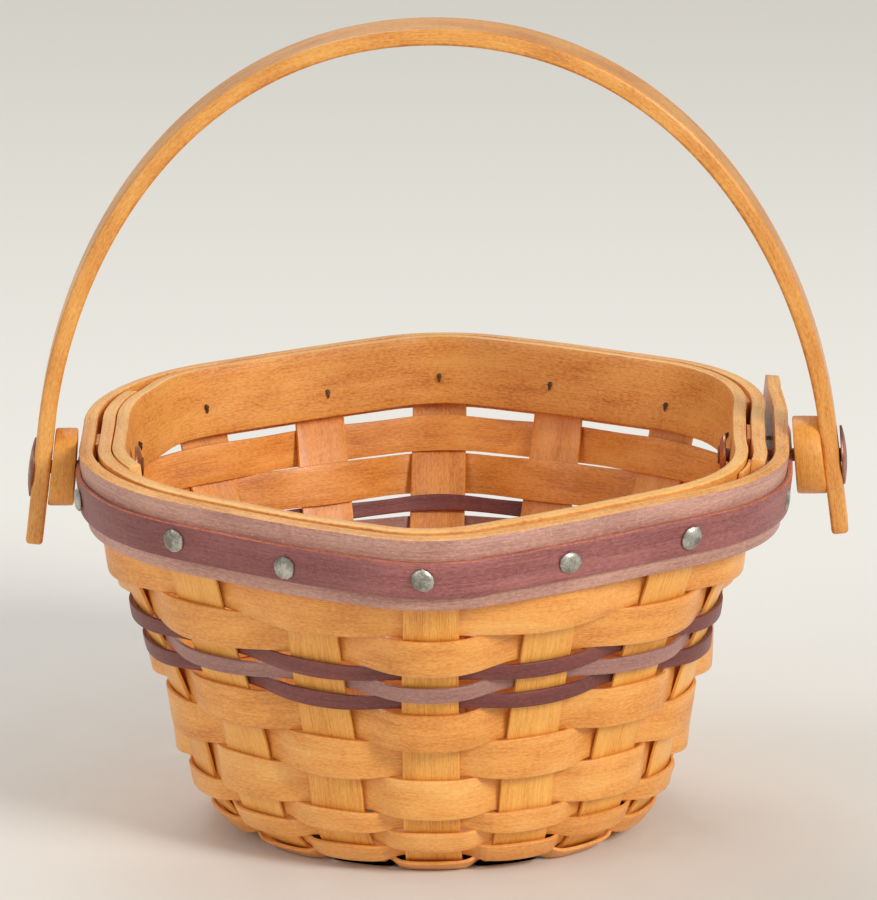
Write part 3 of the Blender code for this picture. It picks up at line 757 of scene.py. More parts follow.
def bezier(controls: Sequence[tuple[float, float]], steps: int) -> np.ndarray:
    """Points of a cubic curve.

    Args:
        controls: Its four control points.
        steps: How many points.

    Returns:
        The points, as (steps, 2).
    """
    t = np.linspace(0, 1, steps)[:, None]
    start, first, second, end = (np.array(point) for point in controls)
    return (1 - t) ** 3 * start + 3 * (1 - t) ** 2 * t * first + 3 * (1 - t) * t**2 * second + t**3 * end


def wander(name: str, count: int, size: float, reach: float, closed: bool) -> np.ndarray:
    """Slow, repeatable unevenness along a strip, the sum of five waves.

    Args:
        name: Seeds the unevenness.
        count: How many places.
        size: About the most that it departs.
        reach: How many times the third wave runs along the strip.
        closed: Whether it comes back to its start.

    Returns:
        One value for each place.
    """
    random = np.random.default_rng(sum(ord(letter) * (i + 1) for i, letter in enumerate(name)))
    turn = np.linspace(0, 2 * math.pi, count)
    total = np.zeros(count)
    whole = 2.3
    for wave in range(1, 6):
        turns = round(reach * wave / 3) if closed else reach * wave / 3
        total += np.sin(turn * turns + random.uniform(0, 2 * math.pi)) / wave
    return total / whole * size


# The wall that every strip follows


@dataclass(frozen=True)
class Wall:
    """Middle of the stakes: a circle at the foot that becomes a hexagon at the collar."""

    stakes: int = 16
    rim_half_width: float = 0.0774
    rim_height: float = 0.0905
    collar_half_width: float = 0.0753
    collar_height: float = 0.0733
    corner_radius: float = 0.0225
    side_corner_radius: float = 0.0480
    floor_radius: float = 0.0426
    floor_level: float = 0.0015
    heel_pull: float = 0.0060
    hip: tuple[float, float] = (0.0548, 0.0167)
    hip_lean: float = 0.207
    hip_pulls: tuple[float, float] = (0.0037, 0.0241)
    collar_lean: float = 0.316
    collar_pull: float = 0.0147
    kick_height: float = 0.0022
    kick_radius: float = 0.0350
    lap: float = 0.0034
    lap_spring: float = 0.0020
    lap_fade_height: float = 0.0360
    lap_ease_shares: tuple[float, float] = (0.018, 0.138)
    side_lift: float = 0.0020
    side_lift_rise: float = 0.035
    side_lift_fade: float = 0.018
    left_swell: float = 0.0022
    left_swell_rise: float = 0.012
    left_swell_top: float = 0.070
    left_swell_fade: float = 0.020
    rim_lifts: tuple[tuple[float, float], ...] = (
        (0.0, 0.0004), (0.0625, 0.0007), (0.125, 0.0022), (0.1875, 0.0023), (0.25, 0.0017),
        (0.3125, 0.0019), (0.375, 0.0020), (0.4375, 0.0018), (0.5, 0.0009), (0.5625, 0.0012),
        (0.625, 0.0010), (0.6875, 0.0002), (0.72, -0.0006), (0.75, 0.0002), (0.78, 0.0019),
        (0.8125, 0.0020), (0.875, 0.0013), (0.91, 0.0004), (0.9375, 0.0), (1.0, 0.0004),
    )
    rim_lift_steps: int = 360
    rim_lift_blur: int = 25
    stake_width: float = 0.0127
    stake_clearance: float = 0.0004
    curve_steps: int = 400
    ring_steps: int = 1441
    probe: float = 0.0006

    @lru_cache(maxsize=None)
    def path(self) -> tuple[np.ndarray, np.ndarray, np.ndarray]:
        """Distance up the wall, half width and height.

        Returns:
            Three arrays, from the middle of the base to the rim.
        """
        radii = np.linspace(0, self.floor_radius, self.curve_steps)
        kick = self.kick_height * np.clip(1 - (radii / self.kick_radius) ** 2, 0, 1) ** 2
        base = np.stack([radii, self.floor_level + kick], 1)
        start = (self.floor_radius, self.floor_level)
        down, up = self.hip_pulls
        heel = bezier(
            [
                start, (start[0] + self.heel_pull, start[1]),
                (self.hip[0] - self.hip_lean * down, self.hip[1] - down), self.hip,
            ], self.curve_steps,
        )
        collar = (self.collar_half_width, self.collar_height)
        pull = self.collar_pull
        side = bezier(
            [
                self.hip, (self.hip[0] + self.hip_lean * up, self.hip[1] + up),
                (collar[0] - self.collar_lean * pull, collar[1] - pull), collar,
            ], self.curve_steps,
        )
        rim = np.array([[self.rim_half_width, self.rim_height]])
        points = np.concatenate([base, heel[1:], side[1:], rim])
        steps = np.linalg.norm(np.diff(points, axis=0), axis=1)
        return np.concatenate([[0], np.cumsum(steps)]), points[:, 0], points[:, 1]

    @property
    def rim_distance(self) -> float:
        """Distance up the wall to the rim."""
        return float(self.path()[0][-1])

    @property
    def collar_distance(self) -> float:
        """Distance up the wall to where the bands start."""
        return float(self.path()[0][-2])

    @property
    def floor_distance(self) -> float:
        """Distance from the middle of the base to where the wall starts to rise."""
        return float(self.path()[0][self.curve_steps - 1])

    def height(self, distance: float) -> float:
        """Height at a distance up the wall."""
        return float(np.interp(distance, self.path()[0], self.path()[2]))

    def half_width(self, distance: float) -> float:
        """Half width across the flats at a distance up the wall."""
        return float(np.interp(distance, self.path()[0], self.path()[1]))

    @lru_cache(maxsize=None)
    def ring(self, distance: float) -> tuple[np.ndarray, np.ndarray, np.ndarray, float]:
        """The ring at a distance up the wall.

        Args:
            distance: Distance up the wall.

        Returns:
            Shares of the way round, angles, reaches from the middle, and the ring's length.
        """
        angle = np.linspace(0, 2 * math.pi, self.ring_steps)
        sixth = math.pi / 3
        is_end = np.mod(np.rint(angle / sixth), 3) == 0
        from_flat = np.abs(np.mod(angle, sixth) - sixth / 2)
        corner = np.where(is_end, self.corner_radius, self.side_corner_radius)
        round_share = corner / self.rim_half_width
        to_centre = (1 - round_share) / math.cos(sixth / 2)
        from_corner = sixth / 2 - from_flat
        inside = np.maximum(round_share**2 - (to_centre * np.sin(from_corner)) ** 2, 0)
        on_arc = to_centre * np.cos(from_corner) + np.sqrt(inside)
        is_flat = np.tan(from_flat) <= (1 - round_share) * math.tan(sixth / 2)
        hexagon = np.where(is_flat, 1 / np.cos(from_flat), on_arc)
        rise = (self.height(distance) - self.floor_level) / (self.collar_height - self.floor_level)
        share = kept(rise)
        reach = self.half_width(distance) * ((1 - share) + share * hexagon)
        points = np.stack([reach * np.sin(angle), -reach * np.cos(angle)], 1)
        lengths = np.concatenate([[0], np.cumsum(np.linalg.norm(np.diff(points, axis=0), axis=1))])
        return lengths / lengths[-1], angle, reach, float(lengths[-1])

    def upper(self, height: float) -> float:
        """How far up the upper wall a height lies: 0 where the lap's set-in fades, 1 at the collar."""
        return kept((height - self.lap_fade_height) / (self.collar_height - self.lap_fade_height))

    def push(self, shares: np.ndarray, height: float) -> np.ndarray:
        """How far the right flat is set in near the rim, under the outer band's lap.

        Args:
            shares: Shares of the way round.
            height: Height of the places.

        Returns:
            The set-in of each place.
        """
        full, none = self.lap_ease_shares
        from_right = np.abs(np.mod(shares, 1) - RIGHT_STAKE / self.stakes)
        across = smoothstep((none - from_right) / (none - full))
        return (self.lap + self.lap_spring) * across * self.upper(height)

    def lift(self, shares: np.ndarray, height: float) -> np.ndarray:
        """How far the handmade rim, and the rows at the sides, stand above their level.

        Args:
            shares: Shares of the way round.
            height: Height of the places.

        Returns:
            The lift of each place.
        """
        known, lifts = self.lift_table()
        low = float(smoothstep(np.array(height / self.side_lift_rise)))
        high = kept((self.collar_height - height) / self.side_lift_fade)
        side = self.side_lift * np.sin(2 * math.pi * shares) ** 2 * low * high
        return np.interp(np.mod(shares, 1), known, lifts) * self.upper(height) + side

    @lru_cache(maxsize=None)
    def lift_table(self) -> tuple[np.ndarray, np.ndarray]:
        """The rim's lift by share of the way round, smoothed.

        Returns:
            Shares and lifts.
        """
        places, values = (np.array(part) for part in zip(*self.rim_lifts))
        steps = self.rim_lift_steps
        shares = np.linspace(0, 1, steps + 1)
        level = np.interp(shares, places, values)[:-1]
        weights = np.hanning(self.rim_lift_blur)
        smooth = np.convolve(np.tile(level, 3), weights / weights.sum(), mode="same")
        smooth = smooth[steps:2 * steps]
        return shares, np.append(smooth, smooth[0])

    def length(self, distance: float) -> float:
        """Length of the ring at a distance up the wall."""
        return self.ring(round(float(distance), 7))[3]

    def flat_half(self, distance: float) -> float:
        """Half the share of the ring that passes a stake."""
        return (self.stake_width / 2 + self.stake_clearance) / self.length(distance)

    def points(self, shares: np.ndarray, distance: float) -> np.ndarray:
        """Places on the wall.

        Args:
            shares: Shares of the way round.
            distance: Distance up the wall.

        Returns:
            The places, as (count, 3).
        """
        distance = round(float(distance), 7)
        known, angles, reaches, _ = self.ring(distance)
        turn = np.mod(shares, 1)
        angle = np.interp(turn, known, angles)
        reach = np.interp(turn, known, reaches)
        height = self.height(distance)
        low = kept(height / self.left_swell_rise)
        high = kept((self.left_swell_top - height) / self.left_swell_fade)
        fuller = self.left_swell * low * high * ((1 - np.sin(angle)) / 2) ** 2
        pushed = reach * np.sin(angle) - self.push(turn, height) - fuller
        return np.stack([pushed, -reach * np.cos(angle), height + self.lift(turn, height)], 1)

    def frames(self, shares: np.ndarray, distance: float) -> tuple[np.ndarray, np.ndarray, np.ndarray]:
        """Places with the directions up the wall and out of it.

        Args:
            shares: Shares of the way round.
            distance: Distance up the wall.

        Returns:
            Places, ups and outs, each as (count, 3).
        """
        step = self.probe / self.length(distance)
        low, high = max(distance - self.probe, 0.0), min(distance + self.probe, self.rim_distance)
        up = self.points(shares, high) - self.points(shares, low)
        along = self.points(shares + step, distance) - self.points(shares - step, distance)
        up /= np.linalg.norm(up, axis=1)[:, None]
        out = np.cross(along, up)
        out /= np.linalg.norm(out, axis=1)[:, None]
        return self.points(shares, distance), up, out


# Weaving


@dataclass(frozen=True)
class Row:
    """One hoop of weaving."""

    node: str
    width: float
    distance: float
    starts_inside: bool
    tone: str

    @property
    def natural(self) -> bool:
        """Whether the hoop is left unstained."""
        return self.tone in ("weaver", "narrow")


@dataclass
class Weaving:
    """Eight long splints and the hoops woven through them."""

    wall: Wall
    palette: Palette
    thickness: float = 0.0008
    seat: float = 0.0003
    wide: float = 0.0091
    accent: float = 0.0038
    narrow: float = 0.0044
    first_gap: float = 0.0004
    base_gap: float = 0.0005
    heel_rise: float = 0.0013
    base_rows: int = 4
    hub_width: float = 0.0042
    hub_pitch: float = 0.00105
    hub_radius: float = 0.006
    hub_pair_radius: float = 0.012
    hub_fade_radius: float = 0.023
    stake_top_drop: float = 0.0012
    stake_clearance: float = 0.0003
    nest: float = 0.0004
    close_up: float = 0.0008
    hold: float = 0.80
    upright: float = 0.62
    most_lean: float = 0.32
    heel_lean: float = 0.75
    heel_lean_fade: float = 0.3
    top_row_gap: float = 0.0012
    hoop_crown: float = 0.00006
    splint_crown: float = 0.00008
    depth_waver: tuple[float, int] = (0.00012, 11)
    rise_waver: tuple[float, int] = (0.00022, 7)
    width_waver: tuple[float, int] = (0.00022, 9)
    eased_share: float = 0.14
    floor_share: float = 0.52
    across_steps: int = 4
    steps_per_stake: int = 20
    wall_steps: int = 110
    hub_steps: int = 44
    flat_start: float = 0.010
    tones: tuple[str, ...] = field(
        default=(
            "weaver", "weaver", "plum", "lilac", "plum", "weaver", "weaver", "weaver",
            "narrow", "narrow", "narrow", "narrow",
        )
    )

    @property
    def offset(self) -> float:
        """Middle of a weaver from the middle of the stake that it passes."""
        return self.thickness + self.seat

    def rows(self) -> list[Row]:
        """The hoops from the rim down and in under the base.

        Returns:
            Every row with its place.
        """
        widths = {"weaver": self.wide, "plum": self.accent, "lilac": self.accent, "narrow": self.narrow}
        sizes = [widths[tone] for tone in self.tones]
        upper = self.wall.collar_distance - self.first_gap
        room = upper - self.wall.floor_distance - self.heel_rise - sum(sizes)
        gap = room / (len(sizes) - 1)
        rows = []
        for number, (tone, width) in enumerate(zip(self.tones, sizes), 1):
            name = f"weaver_row_{number:02d}"
            rows.append(Row(name, width, upper - width / 2, number % 2 == 1, tone))
            upper -= width + gap
        upper = self.wall.floor_distance
        for number in range(1, self.base_rows + 1):
            inside = (number + len(sizes)) % 2 == 1
            name = f"base_row_{number}"
            rows.append(Row(name, self.narrow, upper - self.narrow / 2, inside, "narrow"))
            upper -= self.narrow + self.base_gap
        return rows

    def splint_width(self, radius: float) -> float:
        """Width of a splint: narrow over the hub, full at the foot and up the wall."""
        share = self.wall.stake_width / (self.wall.floor_radius + self.wall.heel_pull / 2)
        return float(np.clip(share * radius, self.hub_width, self.wall.stake_width))

    def weave(self, shares: np.ndarray, row: Row) -> np.ndarray:
        """How far a hoop stands out of the wall as it passes over and under the stakes.

        Args:
            shares: Shares of the way round.
            row: The hoop.

        Returns:
            The offset of each place.
        """
        pitch = self.wall.length(row.distance) / self.wall.stakes
        half = self.splint_width(self.wall.half_width(row.distance)) / 2 + self.stake_clearance
        edge = math.pi * half / pitch
        flatness = math.sqrt(1 / self.hold**2 - 1) / math.tan(edge)
        turn = shares * self.wall.stakes * math.pi
        wave = np.cos(turn) / np.sqrt(np.cos(turn) ** 2 + (flatness * np.sin(turn)) ** 2)
        return wave * self.offset / self.hold * (-1 if row.starts_inside else 1)

    def tilt(self, row: Row) -> float:
        """How far a hoop stays upright where the wall leans, so that its lower edge stands out.

        Args:
            row: The hoop.

        Returns:
            The stand-out of its lower edge as a share of its width.
        """
        if row.distance < self.wall.floor_distance:
            return 0.0
        low = self.wall.half_width(row.distance - row.width / 2)
        high = self.wall.half_width(row.distance + row.width / 2)
        lean = (high - low) / row.width
        fade = kept((self.heel_lean - lean) / self.heel_lean_fade)
        return self.upright * min(lean, self.most_lean) * fade

    def hoop(self, row: Row) -> bpy.types.Object:
        """Models one row.

        Args:
            row: The hoop's place, width and finish.

        Returns:
            The finished hoop.
        """
        steps = self.wall.stakes * self.steps_per_stake
        start = 0.0 if row.starts_inside else 1 / self.wall.stakes
        shares = np.linspace(start, 1 + start, steps + 1)
        places, up, out = self.wall.frames(shares, row.distance)
        level = out * np.array([1.0, 1.0, 0.0])
        level /= np.linalg.norm(level, axis=1)[:, None]
        wave = self.weave(shares, row)
        stand = self.tilt(row) * row.width
        tip = wave * self.hold / self.offset / 2
        offset = wave + wander(row.node, steps + 1, *self.depth_waver, closed=True)
        rise = wander(row.node + "rise", steps + 1, *self.rise_waver, closed=True)
        width = row.width + self.nest * np.cos(shares * self.wall.stakes * math.pi) ** 2
        width += self.close_up * row.natural
        width += wander(row.node + "width", steps + 1, *self.width_waver, closed=True)
        if row.node == "weaver_row_01":
            slack = self.top_row_gap * (1 - np.cos(2 * math.pi * shares)) / 2
            width -= slack
            rise -= slack / 2
        grid = []
        for part in np.linspace(-0.5, 0.5, self.across_steps + 1):
            crown = self.hoop_crown * (1 - (2 * part) ** 2)
            lean = stand * (tip - part)
            shift = up * (rise + part * width)[:, None] + out * (offset + crown)[:, None]
            grid.append(places + shift + level * lean[:, None])
        grid = np.stack(grid, axis=1)
        grid[..., 2] = np.maximum(grid[..., 2], self.thickness * self.floor_share)
        grid[-1] = grid[0]
        hoop = Bench.sheet(f"{row.node}_splint", grid, closed=True)
        finish = getattr(self.palette, row.tone)
        # Natural hoops show the painted-shade maple on their inside face.
        inside = self.palette.inside if row.natural else finish
        Bench.thicken(hoop, self.thickness, self.thickness * self.eased_share, [finish, inside, finish])
        Bench.lay_grain(hoop, grid)
        return hoop

    def level(self, order: int, radius: float) -> float:
        """Height of a crossing splint above the base.

        Args:
            order: Which splint.
            radius: Distance from the middle of the base.

        Returns:
            The height.
        """
        stack = order // 2 + (order % 2) * (self.wall.stakes // 4 - 1)
        settle = self.fade_in(radius, self.hub_radius)
        part = self.fade_in(radius, self.hub_pair_radius)
        return self.hub_pitch * (stack * settle + (order % 2) * part)

    def fade_in(self, radius: float, full: float) -> float:
        """1 inside a full radius, 0 where the hub has faded."""
        return 1 - float(smoothstep(np.array((radius - full) / (self.hub_fade_radius - full))))

    def splint_side(self, order: int, stake: int, mirrored: bool) -> list[np.ndarray]:
        """Sections of one half of a splint, from the rim to the middle of the base.

        Args:
            order: Which splint.
            stake: Which stake this half rises as.
            mirrored: Whether the section runs the other way across.

        Returns:
            A list of sections, each as (steps across, 3).
        """
        parts = np.linspace(-0.5, 0.5, self.across_steps + 1) * (-1 if mirrored else 1)
        crown = self.splint_crown * (1 - (2 * parts) ** 2)
        angle = 2 * math.pi * stake / self.wall.stakes
        outwards = np.array([math.sin(angle), -math.cos(angle), 0.0])
        sideways = np.array([math.cos(angle), math.sin(angle), 0.0])
        top = self.wall.rim_distance - self.stake_top_drop
        sections = []
        for distance in np.linspace(top, self.wall.floor_distance - self.flat_start, self.wall_steps):
            width = self.splint_width(self.wall.half_width(distance))
            shares = stake / self.wall.stakes + parts * width / self.wall.length(distance)
            places, _, out = self.wall.frames(shares, distance)
            sections.append(places + out * crown[:, None])
        last = float(np.dot(sections[-1].mean(axis=0), outwards))
        for radius in np.linspace(last, 0.0, self.hub_steps)[1:]:
            width = self.splint_width(radius)
            bow = (last - radius) / last
            height = self.wall.height(radius) + self.level(order, max(radius, self.hub_radius))
            in_plane = outwards * radius + sideways * (parts * width)[:, None]
            sag = (parts * width) ** 2 / (2 * last) * (1 - bow)
            in_plane = in_plane - outwards * sag[:, None]
            section = in_plane + np.array([0, 0, height])
            section[:, 2] -= crown
            sections.append(section)
        return sections

    def splint(self, order: int) -> bpy.types.Object:
        """Models one splint from rim to rim.

        Args:
            order: Which splint.

        Returns:
            The finished splint.
        """
        first = self.splint_side(order, order, mirrored=False)
        second = self.splint_side(order, order + self.wall.stakes // 2, mirrored=True)
        grid = np.stack(first + second[-2::-1])
        piece = Bench.sheet(f"splint_{order + 1}_wood", grid, closed=False)
        # The splints show the painted-shade maple on their inside face.
        finishes = [self.palette.stake, self.palette.inside, self.palette.stake]
        Bench.thicken(piece, self.thickness, self.thickness * self.eased_share, finishes)
        Bench.lay_grain(piece, grid)
        return piece

    def build(self) -> None:
        """Models the splints and the rows and hands them over."""
        for order in range(self.wall.stakes // 2):
            Bench.hand_over(self.splint(order), f"splint_{order + 1}", Body.BASKET)
        for row in self.rows():
            Bench.hand_over(self.hoop(row), row.node, Body.BASKET)


# Rim


@dataclass
class Rim:
    """Two bent bands that hold the stake ends, the strip over them and its tacks."""

    wall: Wall
    palette: Palette
    seat: float = 0.0003
    splint: float = 0.0008
    outer_width: float = 0.0172
    outer_thickness: float = 0.0032
    outer_seat: float = 0.0001
    end_flare: float = 0.0052
    end_rise: float = 0.0009
    end_run: float = 0.046
    inner_width: float = 0.0159
    inner_thickness: float = 0.0030
    lap_tail: float = 0.0050
    trim_width: float = 0.0086
    trim_thickness: float = 0.0013
    trim_drop: float = 0.0049
    tack_radius: float = 0.0027
    tack_height: float = 0.0009
    tack_shank: float = 0.0005
    tack_shift: float = 0.0062
    tack_seat: float = 0.00005
    head_edge: float = 0.0002
    head_shares: tuple[tuple[float, float], ...] = (
        (0.86, 0.0), (1.0, 0.22), (0.99, 0.46), (0.80, 0.82), (0.70, 0.93), (0.34, 1.0), (0.1, 1.02),
    )
    head_squash: tuple[float, float] = (0.04, 0.09)
    head_ripple: float = 0.03
    head_tilt: float = 0.03
    point_length: float = 0.0020
    point_bend: float = 0.0005
    bend_shares: tuple[float, ...] = (1.4, 1.0, 0.5, 0.0)
    point_taper: tuple[tuple[float, float], ...] = ((0.00008, 0.0), (0.00034, 0.0009), (0.0005, 0.0019))
    tack_sides: int = 11
    tack_smooth_angle: float = math.radians(24)
    steps: int = 520
    across_steps: int = 6
    waver: tuple[float, int] = (0.00012, 9)
    trim_waver: tuple[float, int] = (0.00030, 9)
    nudges: dict[int, tuple[float, float]] = field(
        default_factory=lambda: {
            0: (-0.0014, 0.0003), 15: (-0.0024, -0.0007), 1: (0.0003, 0.0), 14: (0.0003, 0.0006),
            7: (0.0004, 0.0005), 9: (-0.0005, -0.0006), 6: (0.0, -0.0005), 10: (0.0006, 0.0004),
        }
    )
    band_ease: float = 0.00025
    lap_begin_share: float = 0.0060

    @property
    def outer_offset(self) -> float:
        """Middle of the outer band from the wall."""
        return self.splint / 2 + self.outer_seat + self.outer_thickness / 2

    @property
    def inner_offset(self) -> float:
        """Middle of the inner band from the wall, inwards."""
        return self.splint / 2 + self.seat + self.inner_thickness / 2

    @property
    def trim_offset(self) -> float:
        """Middle of the trim from the wall."""
        return self.outer_offset + self.outer_thickness / 2 + self.outer_seat + self.trim_thickness / 2

    @property
    def edge(self) -> float:
        """Half the share of the rim that passes a stake."""
        return self.wall.flat_half(self.wall.rim_distance)

    @property
    def lap_start(self) -> float:
        """Where the outer band starts, under its own end."""
        return (RIGHT_STAKE - 1) / self.wall.stakes + self.lap_begin_share

    @property
    def lap_end(self) -> float:
        """Where the stakes under the outer band's end stop."""
        return (RIGHT_STAKE + 1) / self.wall.stakes + self.edge

    def over(self, shares: np.ndarray) -> np.ndarray:
        """How far the outer band and the trim stand out over the band's beginning.

        Args:
            shares: Shares of the way round, from the band's start.

        Returns:
            The stand-out of each place.
        """
        late = self.wall.lap * (shares - 1 >= RIGHT_STAKE / self.wall.stakes)
        out = np.maximum(self.wall.push(shares, self.wall.rim_height), late)
        return np.where(shares < 1, 0.0, out)

    def spring(self, shares: np.ndarray, end: float) -> np.ndarray:
        """How far the outer band's free end springs away from the corner behind it."""
        return self.end_flare * np.clip((shares - end + self.end_run) / self.end_run, 0, 1) ** 2

    def under(self, shares: np.ndarray) -> np.ndarray:
        """How far the inner band's end is set in past its beginning.

        Args:
            shares: Shares of the way round, from the band's start.

        Returns:
            The set-in of each place.
        """
        start = 1 + (LEFT_STAKE - 2) / self.wall.stakes + self.edge
        end = 1 + (LEFT_STAKE - 1) / self.wall.stakes - self.edge
        return (self.inner_thickness + self.seat) * smoothstep((shares - start) / (end - start))

    def strip(
        self, name: str, span: tuple[float, float], drop: float, size: tuple[float, float],
        offset: Callable[[np.ndarray], np.ndarray], finishes: Sequence[bpy.types.Material],
        waver: tuple[float, int], end_rise: float = 0.0,
    ) -> bpy.types.Object:
        """A strip bent round the rim.

        Args:
            name: The piece's name.
            span: Shares of the way round where it starts and ends.
            drop: How far its upper edge lies below the rim.
            size: Its width and thickness.
            offset: Its offset from the wall at each share.
            finishes: Outer face, inner face and edges.
            waver: How far its line wanders, and how often.
            end_rise: How far the upper edge of its end stands up.

        Returns:
            The finished strip.
        """
        width, thickness = size
        shares = np.linspace(*span, self.steps)
        places, up, out = self.wall.frames(shares, self.wall.rim_distance - drop - width / 2)
        rise = wander(name, self.steps, *waver, closed=False)
        parts = np.linspace(-0.5, 0.5, self.across_steps + 1)
        stand = offset(shares)
        tip = end_rise * smoothstep((shares - span[1] + self.end_run) / self.end_run)
        grid = [
            places + up * (rise + part * width + (part + 0.5) * tip)[:, None] + out * stand[:, None]
            for part in parts
        ]
        grid = np.stack(grid, axis=1)
        piece = Bench.sheet(name, grid, closed=False)
        Bench.thicken(piece, thickness, self.band_ease, finishes)
        Bench.lay_grain(piece, grid)
        return piece

    def build_bands(self) -> None:
        """Models the two bands and the trim."""
        stakes, palette = self.wall.stakes, self.palette
        tail = self.lap_tail / self.wall.length(self.wall.rim_distance)
        tip = 1 + self.lap_end + tail
        outer = self.strip(
            "outer_band_wood", (self.lap_start, tip), 0.0, (self.outer_width, self.outer_thickness),
            lambda shares: self.outer_offset + self.over(shares) + self.spring(shares, tip),
            [palette.band_lilac, palette.band, palette.band_edge], self.waver, self.end_rise,
        )
        Bench.hand_over(outer, "outer_band", Body.BASKET)
        inner_span = ((LEFT_STAKE - 1) / stakes - self.edge, 1 + (LEFT_STAKE + 1) / stakes + self.edge)
        inner = self.strip(
            "inner_band_wood", inner_span, 0.0, (self.inner_width, self.inner_thickness),
            lambda shares: -self.inner_offset - self.under(shares),
            [palette.band, palette.band, palette.band_edge], self.waver,
        )
        Bench.hand_over(inner, "inner_band", Body.BASKET)
        trim_span = (self.lap_end + 2 * tail, 1 + self.lap_end)
        trim = self.strip(
            "trim_strip_wood", trim_span, self.trim_drop, (self.trim_width, self.trim_thickness),
            lambda shares: self.trim_offset + self.over(shares),
            [palette.trim, palette.trim, palette.trim_edge], self.trim_waver,
        )
        Bench.hand_over(trim, "trim_strip", Body.BASKET)

    def layers(self, stake: int) -> tuple[float, float]:
        """How far out and in the faces lie that a tack passes through.

        Args:
            stake: The stake that it holds.

        Returns:
            Offsets of the trim's face and the inner band's face.
        """
        outside = self.trim_offset + self.trim_thickness / 2
        if stake <= RIGHT_STAKE + 1:
            outside += float(self.over(np.array([1 + stake / self.wall.stakes]))[0])
        inside = self.inner_offset + self.inner_thickness / 2
        if abs(stake - LEFT_STAKE) <= 1:
            inside += self.inner_thickness + self.seat
        return outside, inside

    def tack(self, number: int, stake: int) -> bpy.types.Object:
        """Models one tack: an uneven round head, its shank, and the point bent over inside.

        Args:
            number: The tack's number.
            stake: The stake that it holds.

        Returns:
            The finished tack in its place.
        """
        outside, inside = self.layers(stake)
        seat = outside + self.tack_seat
        top = self.tack_height + self.seat
        tip = -inside - self.point_length
        rings = [(radius, tip + height) for radius, height in self.point_taper]
        rings += [(self.tack_shank, -inside - self.point_bend * share) for share in self.bend_shares]
        rings.append((self.tack_shank, seat - self.head_edge))
        rings += [(self.tack_radius * wide, seat + top * high) for wide, high in self.head_shares]
        piece = Bench.lathe(f"tack_{number:02d}_steel", rings, self.tack_sides)
        random = np.random.default_rng(100 + stake)
        phase, squash = random.uniform(0, 2 * math.pi), random.uniform(*self.head_squash)
        tilt = random.normal(0, self.head_tilt, 2)
        piece.data.materials.append(self.palette.steel)
        piece.data.materials.append(self.palette.rust)
        for face in piece.data.polygons:
            face.material_index = int(face.center.z < -inside)
        for vert in piece.data.vertices:
            x, y, z = vert.co
            if z < -inside:
                vert.co = self.bend_point(x, y, -inside - z, inside)
            elif z > 0:
                turn = math.atan2(y, x)
                ripple = self.head_ripple * math.cos(5 * turn + phase)
                uneven = 1 + squash * math.cos(2 * (turn - phase)) + ripple
                vert.co = (x * uneven, y * uneven, z + x * tilt[0] + y * tilt[1])
        spot, up, out = (Vector(part) for part in self.tack_place(stake))
        across = up.cross(out)
        matrix = Matrix((across, up, out)).transposed().to_4x4()
        matrix.translation = spot
        Bench.place(piece, matrix)
        bpy.ops.object.shade_smooth_by_angle(angle=self.tack_smooth_angle)
        return piece

    def bend_point(self, x: float, y: float, past: float, inside: float) -> tuple[float, float, float]:
        """Where a spot of the straight nail goes once its point is bent down over the inner band.

        Args:
            x: Place across the nail.
            y: Place up the nail's section.
            past: How far along the nail it lies past the inner band's face.
            inside: How far that face lies from the wall.

        Returns:
            The bent place.
        """
        radius = self.point_bend
        turn = min(past / radius, math.pi / 2)
        rest = max(past - radius * math.pi / 2, 0.0)
        down = radius * (1 - math.cos(turn)) + rest
        deep = radius * math.sin(turn)
        return x, y * math.cos(turn) - down, -inside - deep - y * math.sin(turn)

    def tack_place(self, stake: int) -> tuple[np.ndarray, np.ndarray, np.ndarray]:
        """The spot of a tack on the wall, with the directions up and out there.

        Args:
            stake: The stake that it holds.

        Returns:
            The spot, up and out.
        """
        distance = self.wall.rim_distance - self.trim_drop - self.trim_width / 2
        pivots = (RIGHT_STAKE, LEFT_STAKE)
        beside = next((pivot - stake for pivot in pivots if abs(pivot - stake) == 1), 0)
        sideways, upwards = self.nudges.get(stake, (0.0, 0.0))
        shift = (beside * self.tack_shift + sideways) / self.wall.length(distance)
        share = stake / self.wall.stakes + shift
        spot, up, out = self.wall.frames(np.array([share]), distance + upwards)
        return spot[0], up[0], out[0]

    def build(self) -> None:
        """Models the rim and hands it over."""
        self.build_bands()
        pivots = (RIGHT_STAKE, LEFT_STAKE)
        stakes = [stake for stake in range(self.wall.stakes) if stake not in pivots]
        for number, stake in enumerate(stakes, 1):
            Bench.hand_over(self.tack(number, stake), f"tack_{number:02d}", Body.BASKET)


# Handle


